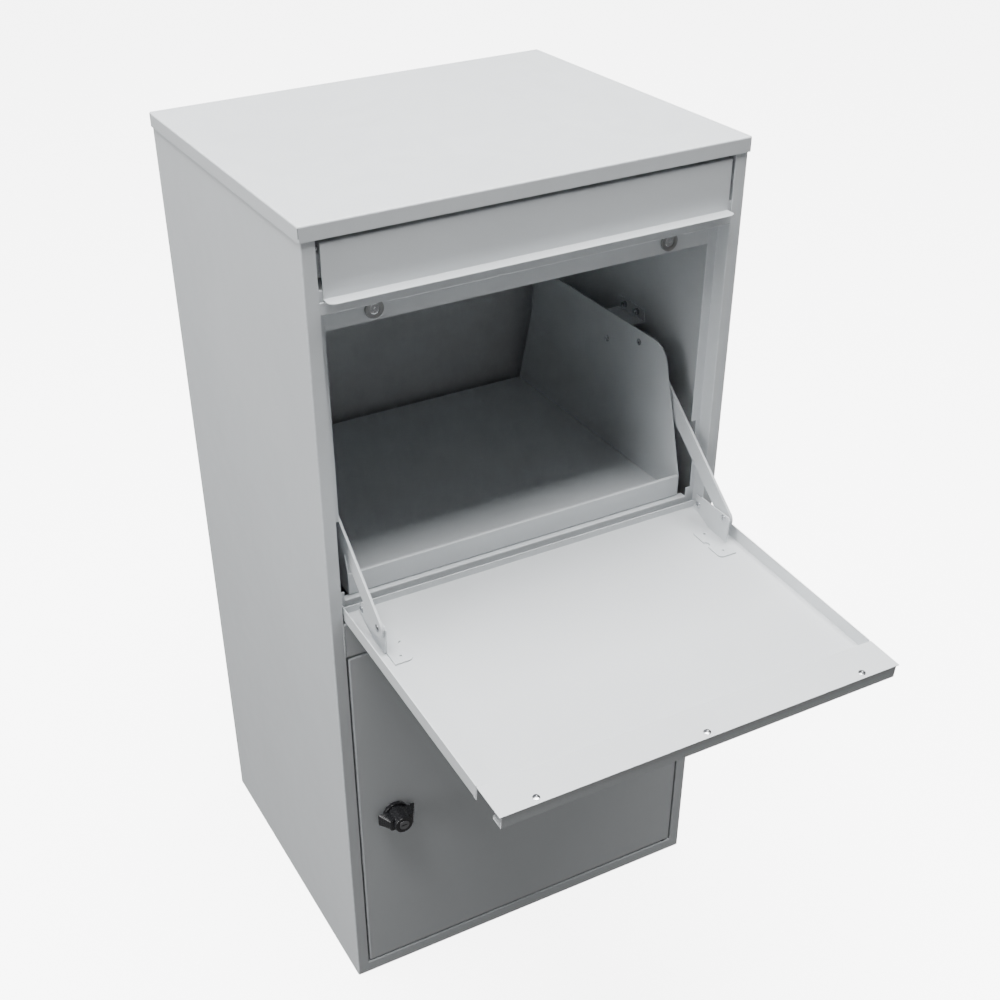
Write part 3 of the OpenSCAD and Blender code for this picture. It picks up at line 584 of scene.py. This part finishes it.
def buildBottomRail():
    low, high = nodeBox("bottom_rail")
    t = sheet / 2
    back = high[1] - t
    top = high[2] - rails["flange"] - t
    corners = [(back, high[2]), (back, top), (low[1] + t, top), (low[1] + t, low[2])]
    share = (high[0] - rails["flange"]) / high[0]
    shape = narrowBehind(back - rails["narrowFrom"], share)
    rail = foldedSheet(corners, rails["bend"], (low[0], high[0]), alongX, shape=shape)
    return makePiece("bottomRail", [rail], ["bottom_rail"])


frameFold = {"bend": 1.5 * mm, "cut": 0.3 * mm}


def buildFramePieces():
    # the pieces with notches and holes keep their cut outline and get eased folds
    easedCopy("top_rail", "topRail", frameFold["bend"], frameFold["cut"])
    easedCopy("jamb_left", "jambLeft", frameFold["bend"], frameFold["cut"])
    easedCopy("jamb_right", "jambRight", frameFold["bend"], frameFold["cut"])
    easedCopy("back_panel", "backPanel", frameFold["cut"])
    easedCopy("base_panel", "basePanel", frameFold["cut"])


# letter flap
letterFlap = {"bend": 1.9 * mm, "lipCorner": 8 * mm, "lip": 15 * mm, "topReturn": 12 * mm,
              "earDrop": 11 * mm, "pinDrop": 6 * mm, "pinBack": 7 * mm, "pinHole": 2.1 * mm,
              "cornerRows": (0.5, 1, 1.8, 3, 4.6, 6.4, 8)}      # in mm from the lip's edge


def roundedEnd(edge, radius, half, inward):
    # half width near a free edge whose corners are rounded: half - r + sqrt(r^2 - (r - distance)^2)
    def shape(ring):
        distance = np.clip((ring[..., 0] - edge) * inward, 0, radius)
        return 1 - (radius - np.sqrt(radius ** 2 - (radius - distance) ** 2)) / half
    return shape


def buildLetterFlap():
    low, high = nodeBox("letter_flap")
    t = sheet / 2
    lf = letterFlap
    face = low[1] + lf["lip"]
    corners = [(high[1], high[2] - t), (face + t, high[2] - t), (face + t, low[2] + t),
               (low[1], low[2] + t)]
    tail = np.array(lf["cornerRows"]) * mm
    body = foldedSheet(corners, lf["bend"] - t, (low[0], high[0]), alongX, tail=tail,
                       shape=roundedEnd(low[1], lf["lipCorner"], high[0], 1))
    pin = (face + lf["pinBack"], high[2] - lf["pinDrop"])
    earLow = (face + sheet, high[2] - lf["earDrop"])
    earHigh = (face + lf["topReturn"], high[2] - sheet)
    ears = [holedPlate(earLow, earHigh, pin, lf["pinHole"], x, x + sheet)
            for x in (low[0], high[0] - sheet)]
    return makePiece("letterFlap", [body] + ears, ["letter_flap"])


# drop flap, in its own level frame: the hinge is the origin
dropFlap = {"bend": 1.7 * mm, "reach": 343 * mm, "plate": 11.4 * mm, "plateW": 42.5 * mm,
            "face": 5.8 * mm, "tail": 6.3 * mm, "rearH": 10 * mm, "gripEdge": 1 * mm,
            "gripLip": 18 * mm, "lipCorner": 4 * mm, "cornerRows": (0.5, 1, 1.8, 3, 4),
            "rootThin": 0.04 * mm, "rootFront": 5 * mm, "rootRear": 4 * mm, "floorGap": 0.8 * mm}


def onFlapX(u, v, w):
    return onFlap(np.stack([w, u, v], -1))


def onFlapY(u, v, w):
    return onFlap(np.stack([u, w, v], -1))


def buildFlapPanel():
    # the floor with its side flanges runs front to back; the raised plate with its riser and the
    # rear flange are folded across it, their roots let into the floor's own thickness
    df = dropFlap
    half = nodeBox("flap_panel")[1][0]
    t = sheet / 2
    root = sheet - df["rootThin"]
    low, top = -df["face"] + t, df["plate"] - t
    riser = -df["reach"] + df["plateW"] + t
    bend = df["bend"] - t
    sides = [(t - half, df["plate"]), (t - half, low), (half - t, low), (half - t, df["plate"])]
    floorSpan = (riser + t + df["floorGap"], df["tail"] - sheet)
    floorShell = foldedSheet(sides, bend, floorSpan, onFlapY)
    frontLine = [(riser + df["rootFront"], low), (riser, low), (riser, top), (-df["reach"], top)]
    front = foldedSheet(frontLine, bend, (-half, half), onFlapX, thickness=root)
    rearLine = [(df["tail"] - df["rootRear"], low), (df["tail"] - t, low),
                (df["tail"] - t, df["rearH"] - df["face"])]
    rear = foldedSheet(rearLine, bend, (-half, half), onFlapX, thickness=root)
    return makePiece("flapPanel", [floorShell, front, rear], ["flap_panel"])


def buildGripChannel():
    df = dropFlap
    low, high = nodeBox("grip_channel")
    t = sheet / 2
    front = -df["reach"] + df["gripEdge"]
    top, bottom = df["plate"] - sheet - t, -df["face"] + t
    corners = [(front + df["gripLip"], top), (front + t, top), (front + t, bottom),
               (front + df["gripLip"], bottom)]
    tail = np.array(df["cornerRows"]) * mm
    shape = roundedEnd(front + df["gripLip"], df["lipCorner"], high[0], -1)

    def lipOnly(ring):
        # only the lower lip's free corners are rounded
        return np.where(ring[..., 1] < bottom + sheet, shape(ring), 1.0)
    span = (low[0], high[0])
    channel = foldedSheet(corners, df["bend"] - t, span, onFlapX, tail=tail, shape=lipOnly)
    return makePiece("gripChannel", [channel], ["grip_channel"])


linkage = {"fold": 0.5 * mm, "bracketCut": 0.35 * mm, "armCut": 0.5 * mm}


def buildFlapPieces():
    buildFlapPanel()
    easedCopy("flap_bracket_left", "flapBracketLeft", linkage["fold"], linkage["bracketCut"])
    easedCopy("flap_bracket_right", "flapBracketRight", linkage["fold"], linkage["bracketCut"])
    easedCopy("stay_arm_left", "stayArmLeft", linkage["fold"], linkage["armCut"])
    easedCopy("stay_arm_right", "stayArmRight", linkage["fold"], linkage["armCut"])


# tray
parcelTray = {"bend": 1.9 * mm, "hemBend": 1.3 * mm, "hem": 4.5 * mm, "wingCut": 0.35 * mm,
              "bracketFold": 1.6 * mm, "bracketCut": 0.3 * mm, "bracketSheet": 1.5 * mm}


def buildTrayFloor():
    pt = parcelTray
    low, high = nodeBox("tray_floor")
    t = sheet / 2
    front = low[1] + t
    corners = [(high[1], low[2] + t), (front, low[2] + t), (front, high[2] - t),
               (low[1] + pt["hem"] - t, high[2] - t), (low[1] + pt["hem"] - t, high[2] - pt["hem"])]
    radius = np.array([pt["bend"], pt["hemBend"], pt["hemBend"]]) - t
    trayFloor = foldedSheet(corners, radius, (low[0], high[0]), alongX)
    return makePiece("trayFloor", [trayFloor], ["tray_floor"])


def buildTrayPieces():
    pt = parcelTray
    for node, name in (("tray_wing_left", "trayWingLeft"), ("tray_wing_right", "trayWingRight")):
        easedCopy(node, name, pt["wingCut"], pt["wingCut"])
    for node, name in (("pivot_bracket_left", "pivotBracketLeft"),
                       ("pivot_bracket_right", "pivotBracketRight")):
        easedCopy(node, name, pt["bracketFold"], pt["bracketCut"], thickness=pt["bracketSheet"])


# lower door
lowerDoor = {"bend": 2.0 * mm, "corner": 2.3 * mm}


def buildLowerDoor():
    low, high = nodeBox("lower_door")
    middle, half = (low + high) / 2, (high - low) / 2

    def place(x, z, h):
        return np.stack([x + middle[0], low[1] + h, z + middle[2]], -1)
    bend, corner = lowerDoor["bend"], lowerDoor["corner"]
    pan = foldedPan((half[0], half[2]), high[1] - low[1], bend, corner, place)
    return makePiece("lowerDoor", [pan], ["lower_door"])


# pins, rivets, screws and nuts
def domed(radius, end, way, rise, socket=0.0, depth=0.0):
    # half of a turned head, from its middle to its rim: the height falls with the square of the
    # radius, and a socket is a flat hole in the middle
    share = np.array([0.02, 0.4, 0.6, 0.75, 0.88, 0.96, 1])
    drop = rise * share ** 2
    drop[-1] = rise * 1.35
    r, h = radius * share, end - way * drop
    if socket:
        keep = r > socket * 1.15
        floorH = end - way * depth
        r = np.r_[0.02 * radius, socket * 0.9, socket, socket * 1.1, r[keep]]
        h = np.r_[floorH, floorH, end - way * 0.15 * depth, end - way * 0.05 * depth, h[keep]]
    return np.stack([r, h], 1)


headForm = {"rise": 0.6 * mm, "deep": 0.7 * mm, "chamfer": 0.15 * mm, "lip": 0.05 * mm,
            "end": 0.3 * mm}


def headedPin(centre, s, x0, x1, heads, shaft):
    # a pin along x, mirrored for each side; heads are (radius, inner x, outer x, socket radius)
    rise, deep, chamfer = headForm["rise"], headForm["deep"], headForm["chamfer"]
    end, core = headForm["end"], 0.02 * shaft
    rows = []
    inner = [h for h in heads if abs(h[1] - x0) < 1e-7]
    outer = [h for h in heads if abs(h[2] - x1) < 1e-7]
    middle = [h for h in heads if h not in inner and h not in outer]
    for r, a, b, hole in inner:
        rows += [domed(r, a, -1, rise, hole, deep), [[r, b - hair], [r - chamfer, b]]]
    if not inner:
        rows.append([[core, x0], [shaft - end, x0], [shaft, x0 + end]])
    else:
        rows.append([[shaft, inner[0][2]]])
    for r, a, b, hole in middle:
        rows.append([[shaft, a], [r - chamfer, a], [r, a + hair], [r, b - hair], [r - chamfer, b],
                     [shaft, b]])
    if outer:
        r, a, b, hole = outer[0]
        rows += [[[shaft, a], [r - chamfer, a], [r, a + headForm["lip"]]],
                 domed(r, b, 1, rise, hole, deep)[::-1]]
    else:
        rows.append([[shaft, x1 - end], [shaft - end, x1], [core, x1]])
    profile = np.vstack([np.asarray(r, float) for r in rows])
    return turnedShape(profile, centre, (s, 0, 0))


def sidesOf(node):
    # where a pair of turned parts lies: middle in y and z, and its span from the middle plane
    low, high = nodeBox(node)
    return (0, (low[1] + high[1]) / 2, (low[2] + high[2]) / 2), high[0]


linkPins = {"shaft": 3 * mm, "head": 4.2 * mm, "headT": 1 * mm, "socket": 1.3 * mm, "gap": 0.3 * mm,
            "plate": 2 * mm, "pivotSocket": 2.2 * mm, "studHead": 5 * mm, "studT": 3.5 * mm,
            "rivet": 2.5 * mm, "rivetSocket": 1 * mm, "letterHead": 3.2 * mm, "letterShaft": 2 * mm}


def pinPair(name, node, centre, x0, outer, heads, shaft):
    # the left and right pin, each from x0 out to its outer end
    makePiece(name, [headedPin(centre, s, x0, outer, heads, shaft) for s in (-1, 1)], [node])


def buildLinkPins():
    lp = linkPins
    t, gap, head, shaft, socket = lp["headT"], lp["gap"], lp["head"], lp["shaft"], lp["socket"]
    armX = nodeBox("stay_arm_right")[0][0]
    wingX = nodeBox("tray_wing_right")[1][0]
    plateX = nodeBox("flap_bracket_right")[1][0] - lp["plate"]
    outer = sidesOf("flap_hinge_pins")[1]
    x0 = nodeBox("flap_panel")[1][0] - sheet - gap - t
    hinge = (0, flapHinge[1], flapHinge[2])
    pinPair("flapHingePins", "flap_hinge_pins", hinge, x0, outer, [(head, x0, x0 + t, 0)], shaft)
    centre, outer = sidesOf("arm_lower_pins")
    x0 = plateX - t
    heads = [(head, x0, plateX, socket), (head, outer - t, outer, 0)]
    pinPair("armLowerPins", "arm_lower_pins", centre, x0, outer, heads, shaft)
    centre, outer = sidesOf("arm_upper_pins")
    x0 = wingX - sheet - t
    heads = [(head, x0, x0 + t, socket), (head, wingX, armX - gap, 0), (head, outer - t, outer, 0)]
    pinPair("armUpperPins", "arm_upper_pins", centre, x0, outer, heads, shaft)
    centre, outer = sidesOf("tray_pivot_pins")
    x0 = wingX - sheet - gap - t
    heads = [(head, x0, x0 + t, lp["pivotSocket"]), (lp["studHead"], outer - lp["studT"], outer, 0)]
    pinPair("trayPivotPins", "tray_pivot_pins", centre, x0, outer, heads, shaft)
    centre, outer = sidesOf("bracket_rivets")
    x0 = plateX - t
    heads = [(head, x0, plateX, lp["rivetSocket"]), (head, outer - t, outer, 0)]
    pinPair("bracketRivets", "bracket_rivets", centre, x0, outer, heads, lp["rivet"])
    centre, outer = sidesOf("letter_flap_pins")
    x0 = nodeBox("letter_flap")[1][0] - sheet - gap - t
    heads = [(lp["letterHead"], x0, x0 + t, 0)]
    pinPair("letterFlapPins", "letter_flap_pins", centre, x0, outer, heads, lp["letterShaft"])


def pairAt(node):
    # the two middles of a left and right pair of round parts that face the front
    low, high = nodeBox(node)
    r = (high[2] - low[2]) / 2
    z = (low[2] + high[2]) / 2
    return [np.array([x, 0, z]) for x in (low[0] + r, high[0] - r)], low[1], high[1]


magnets = {"radius": 10 * mm, "bore": 5.8 * mm, "ease": 0.4 * mm, "seat": 1 * mm, "shank": 2 * mm,
           "nut": 5.8 * mm, "nutT": 3 * mm, "screwHead": 5.2 * mm, "headT": 0.8 * mm,
           "dome": 0.4 * mm, "socket": 1.3 * mm, "deep": 0.7 * mm}


def buildMagnets():
    # a ring magnet in a pressed cup, its screw sunk in the middle
    mg = magnets
    e, shank = mg["ease"], mg["shank"]
    r, bore = mg["radius"], mg["bore"]
    spots, front, back = pairAt("magnets")
    face, seat = -front, -front - mg["seat"]
    ring = [(shank, -back), (r - e, -back), (r, -back + e), (r, face - e),
            (r - 0.3 * e, face - 0.3 * e), (r - e, face), (r - 2.2 * e, face),
            (r - 2.6 * e, face - 0.4 * e), (bore + e, face - 0.4 * e), (bore, face - e),
            (bore, seat), (shank, seat)]
    rings = [turnedShape(ring, spot, (0, -1, 0), 56, closed=True) for spot in spots]
    makePiece("flapMagnets", rings, ["magnets"])
    spots, head, tail = pairAt("magnet_screws")
    nut, nutEnd = mg["nut"], -tail + mg["nutT"]
    under, top = -head - mg["headT"], -head
    body = [(tip, -tail), (nut - e, -tail), (nut, -tail + e), (nut, nutEnd - e), (nut - e, nutEnd),
            (shank, nutEnd), (shank, under), (mg["screwHead"] - hair, under)]
    cap = domed(mg["screwHead"], top, 1, mg["dome"], mg["socket"], mg["deep"])[::-1]
    profile = np.vstack([body, cap])
    screws = [turnedShape(profile, spot, (0, -1, 0), 48) for spot in spots]
    makePiece("magnetScrews", screws, ["magnet_screws"])


gripScrews = {"head": 3.8 * mm, "x": 191 * mm, "inset": 7.5 * mm, "headT": 0.8 * mm,
              "nutT": 2.5 * mm, "shank": 2 * mm, "chamfer": 0.4 * mm, "ease": 0.2 * mm,
              "dome": 0.45 * mm, "socket": 1.2 * mm, "deep": 0.6 * mm}


def buildGripScrews():
    gs = gripScrews
    r, c, e, shank = gs["head"], gs["chamfer"], gs["ease"], gs["shank"]
    top = dropFlap["plate"] + gs["headT"]
    nut = dropFlap["plate"] - 2 * sheet
    nutLow = nut - gs["nutT"]
    body = [(tip, nutLow), (r - c, nutLow), (r, nutLow + c), (r, nut - e), (r - e, nut),
            (shank, nut), (shank, dropFlap["plate"]), (r - hair, dropFlap["plate"])]
    cap = domed(r, top, 1, gs["dome"], gs["socket"], gs["deep"])[::-1]
    profile = np.vstack([body, cap])
    y = gs["inset"] - dropFlap["reach"]
    screws = []
    for x in (-gs["x"], 0, gs["x"]):
        points, faces, rim = turnedShape(profile, (x, y, 0), (0, 0, 1), 40)
        screws.append((onFlap(points), faces, rim))
    makePiece("gripScrews", screws, ["grip_screws"])


bracketNuts = {"corner": 4.6 * mm, "face": 4 * mm, "thick": 4 * mm, "chamfer": 0.35 * mm,
               "stud": 2.5 * mm, "studEase": 0.4 * mm, "studOut": 1 * mm, "studPast": 1.5 * mm}


def buildBracketNuts():
    # stud with a chamfered hexagon nut: the chamfer is the turned limit on the hexagon's corners
    bn = bracketNuts
    low, high = nodeBox("bracket_nuts")
    middle, half = (low + high) / 2, (high - low) / 2
    face, corner, stud = bn["face"], bn["corner"], bn["stud"]
    x0 = high[0] - bn["studPast"] - bn["thick"]
    x1 = x0 + bn["thick"]
    studEnd = x0 - bn["studOut"]
    profile = [(tip, studEnd), (stud - bn["studEase"], studEnd), (stud, studEnd + bn["studEase"]),
               (stud, x0), (face, x0), (corner, x0 + bn["chamfer"]), (corner, x1 - bn["chamfer"]),
               (face, x1), (stud, x1), (stud, high[0]), (tip, high[0])]
    outline = hexagon(corner * math.cos(math.pi / 6))
    shells = []
    for s in (-1, 1):
        for y in (-1, 1):
            for z in (-1, 1):
                centre = (0, middle[1] + y * (half[1] - corner), middle[2] + z * (half[2] - face))
                shells.append(turnedShape(profile, centre, (s, 0, 0), 48, outline=outline))
    makePiece("bracketNuts", shells, ["bracket_nuts"])


hiddenEdge = 0.3 * mm


def buildHiddenFixings():
    # parts behind the sheets keep their outline, with eased edges
    for node, name in (("tray_bushes", "trayBushes"), ("door_hinge_pins", "doorHingePins"),
                       ("door_hinge_washers", "doorHingeWashers"), ("lock_nut", "lockNut"),
                       ("lock_cam", "lockCam"), ("cam_screw", "camScrew"), ("key_plug", "keyPlug")):
        easedCopy(node, name, hiddenEdge, hiddenEdge, wide=0)


# lock
lockKnob = {"depth": 27 * mm, "collar": 16 * mm, "collarT": 5 * mm, "barrel": 13.2 * mm,
            "taper": 2.0 * mm, "wingHalf": 8.5 * mm, "wingTop": 21.5 * mm, "wingIn": 10 * mm,
            "square": 14, "rim": 0.8 * mm, "bore": 6.6 * mm, "boreDeep": 18 * mm, "spindle": 4 * mm,
            "spindleIn": 0.5 * mm}


def buildKnob():
    # rows of radius by angle at rising heights: a collar, then two wings whose ends lean in
    # towards the barrel, then the barrel's rim; a wing's outline is a rectangle with rounded
    # corners, radius = (|cos / x|^p + |sin / z|^p)^(-1/p), and it shows where it passes the barrel
    lk = lockKnob
    low, high = nodeBox("lock_knob")
    plugLow, plugHigh = nodeBox("key_plug")
    centre = np.array([(plugLow[0] + plugHigh[0]) / 2, 0, (plugLow[2] + plugHigh[2]) / 2])
    face = -low[1]                          # heights are measured along -y
    back = face - lk["depth"]
    angle = np.linspace(0, 2 * np.pi, 240, endpoint=False)
    around = len(angle)
    one = np.ones(around)
    w0, w1 = back + lk["collarT"], back + lk["wingTop"]
    span = (high[0] - low[0]) / 2

    def barrelAt(h):
        return lk["barrel"] - lk["taper"] * (h - w0) / (face - w0)

    def wingAt(h, inset):
        x = span - lk["wingIn"] * (h - w0) / (w1 - w0) - inset
        z = lk["wingHalf"] - inset
        p = lk["square"]
        return ((abs(np.cos(angle)) / x) ** p + (abs(np.sin(angle)) / z) ** p) ** (-1 / p)
    rim, collar, bore = lk["rim"], lk["collar"] * one, lk["bore"] * one
    rows = [(tip * one, back), (collar - rim, back), (collar, back + rim), (collar, w0 - rim),
            (collar - 0.3 * rim, w0 - 0.3 * rim), (collar - rim, w0)]
    for inset, h in ((rim, w0), (0.3 * rim, w0 + 0.3 * rim), (0, w0 + rim),
                     (0, w1 - rim), (0.3 * rim, w1 - 0.3 * rim), (rim, w1)):
        rows.append((np.maximum(wingAt(h, inset), barrelAt(h)), h))
    rows.append((barrelAt(w1) * one, w1 + 0.2 * hair))
    for inset, h in ((0, face - rim), (0.12 * rim, face - 0.5 * rim),
                     (0.5 * rim, face - 0.12 * rim), (rim, face)):
        rows.append(((barrelAt(h) - inset) * one, h))
    floorH = face - lk["boreDeep"]
    rows += [(bore + 5 * hair, face), (bore, face - 5 * hair), (bore, floorH), (tip * one, floorH)]
    r = np.stack([row[0] for row in rows])
    h = np.repeat(np.array([row[1] for row in rows])[:, None], around, 1)
    points = centre + np.stack([r * np.cos(angle), -h, r * np.sin(angle)], -1)
    faces = gridFaces(len(rows), around)
    faces += [list(range(around)), list(range((len(rows) - 1) * around, len(rows) * around))]
    knob = (points.reshape(-1, 3), faces, np.zeros(r.size))
    pin, end, root = lk["spindle"], -high[1], back + lk["spindleIn"]
    spindle = [(tip, end), (pin - 3 * hair, end), (pin, end + 3 * hair), (pin, root), (tip, root)]
    makePiece("lockKnob", [knob, turnedShape(spindle, centre, (0, -1, 0))], ["lock_knob"])


lockHousing = {"body": 9 * mm, "bore": 4.1 * mm, "flange": 2 * mm, "ease": 0.7 * mm}


def buildLockHousing():
    # a flanged sleeve with a rounded rim; the knob's spindle turns in its bore
    lh = lockHousing
    low, high = nodeBox("lock_housing")
    middle = (low + high) / 2
    centre = np.array([middle[0], 0, middle[2]])
    rim, body, bore, e = (high[0] - low[0]) / 2, lh["body"], lh["bore"], lh["ease"]
    rear, front = -high[1], -low[1]
    door = front - lh["flange"]
    profile = [(bore, rear), (body - e, rear), (body, rear + e), (body, door), (rim, door),
               (rim, front - e), (rim - 0.3 * e, front - 0.3 * e), (rim - e, front), (bore, front)]
    sleeve = turnedShape(profile, centre, (0, -1, 0), 56, closed=True)
    makePiece("lockHousing", [sleeve], ["lock_housing"])


buildRoofCap()
buildSidePanel("side_panel_left", "sidePanelLeft", -1)
buildSidePanel("side_panel_right", "sidePanelRight", 1)
buildMidRail()
buildBottomRail()
buildFramePieces()
print("cabinet shell done")
buildLetterFlap()
buildFlapPieces()
buildGripChannel()
buildTrayFloor()
buildTrayPieces()
buildLowerDoor()
print("flaps, tray and door done")
buildLinkPins()
buildMagnets()
buildGripScrews()
buildBracketNuts()
buildHiddenFixings()
buildKnob()
buildLockHousing()
print("fixings and lock done")


# floor, light and camera
studioFloor = {"flat": 10.0, "sweep": 5.0, "rise": 14.0, "around": 72,      # metres
               "glow": 6, "cloud": 0.7, "grain": 60, "grainHeight": 0.2 * mm}


def buildFloor():
    # a flat floor that sweeps up all round: radius and height follow a quarter circle and then
    # a straight rise, turned about the vertical
    sf = studioFloor
    mat, tree, shader, place = startMaterial("paleFloor", (0.86, 0.86, 0.86), 0.0, 0.75)
    cloud = addNoise(tree, place, sf["cloud"], 3)
    tone = addMix(tree, cloud, (0.85, 0.85, 0.85), (0.88, 0.88, 0.88))
    tree.links.new(tone, shader.inputs["Base Color"])
    grain = addBump(tree, addNoise(tree, place, sf["grain"], 3), 0.08, sf["grainHeight"])
    tree.links.new(grain, shader.inputs["Normal"])
    shader.inputs["Emission Color"].default_value = (1, 1, 1, 1)
    shader.inputs["Emission Strength"].default_value = sf["glow"]
    around = sf["around"]
    arc = np.linspace(0, np.pi / 2, 9)
    r = np.r_[0.01, sf["flat"] + sf["sweep"] * np.sin(arc), sf["flat"] + sf["sweep"]][:, None]
    z = np.r_[0, sf["sweep"] * (1 - np.cos(arc)), sf["rise"]]
    turn = np.linspace(0, 2 * np.pi, around, endpoint=False)
    height = np.repeat(z[:, None], around, 1)
    points = np.stack([r * np.cos(turn), r * np.sin(turn), height], -1)
    mesh = bpy.data.meshes.new("floor")
    faces = gridFaces(len(z), around) + [list(range(around))]
    mesh.from_pydata(points.reshape(-1, 3).tolist(), [], faces)
    ground = bpy.data.objects.new("floor", mesh)
    bpy.context.scene.collection.objects.link(ground)
    mesh.materials.append(mat)
    ground.visible_diffuse = False      # it neither lights nor mirrors in the shaded door
    ground.visible_glossy = False


def addSoftLight(name, spot, aim, size, power):
    lamp = bpy.data.lights.new(name, "AREA")
    lamp.shape = "RECTANGLE"
    lamp.size, lamp.size_y = size
    lamp.energy = power
    obj = bpy.data.objects.new(name, lamp)
    bpy.context.scene.collection.objects.link(obj)
    way = np.array(aim, float) - np.array(spot, float)
    way /= np.linalg.norm(way)
    obj.location = spot
    obj.rotation_euler = (math.acos(-way[2]), 0, math.atan2(way[1], way[0]) - math.pi / 2)
    return obj


# each light: where it stands, where it points, its size in metres and its power in watts
studio = {"overheadSoftbox": ((0, -0.21, 3.4), (0, -0.08, 0.6), (3.0, 2.0), 335),
          "leftSoftbox": ((-3.4, -0.1, 1.7), (0, 0, 0.6), (2.4, 2.4), 112),
          "frontFill": ((-0.6, -4.2, 1.2), (0, 0, 0.6), (2.4, 2.0), 4)}
worldGlow = 0.21


def buildLights():
    for name, (spot, aim, size, power) in studio.items():
        addSoftLight(name, spot, aim, size, power)
    world = bpy.data.worlds.new("studioWorld")
    bpy.context.scene.world = world
    world.use_nodes = True
    background = world.node_tree.nodes["Background"]
    background.inputs["Color"].default_value = (1, 1, 1, 1)
    background.inputs["Strength"].default_value = worldGlow


view = {"spot": (-0.69143, -1.35457, 1.43642), "turn": (55.30559, 1.67636, -26.89612),
        "lens": 50.499, "sensor": 36, "shift": (0.07864, 0.09772), "farEnd": 100}


def buildCamera():
    camera = bpy.data.objects.new("camera", bpy.data.cameras.new("camera"))
    bpy.context.scene.collection.objects.link(camera)
    camera.location = view["spot"]
    camera.rotation_euler = [math.radians(a) for a in view["turn"]]
    camera.data.lens = view["lens"]
    camera.data.sensor_width = view["sensor"]
    camera.data.shift_x, camera.data.shift_y = view["shift"]
    camera.data.clip_end = view["farEnd"]
    bpy.context.scene.camera = camera


buildFloor()
buildLights()
buildCamera()
print("floor, light and camera done")

bpy.context.view_layer.update()
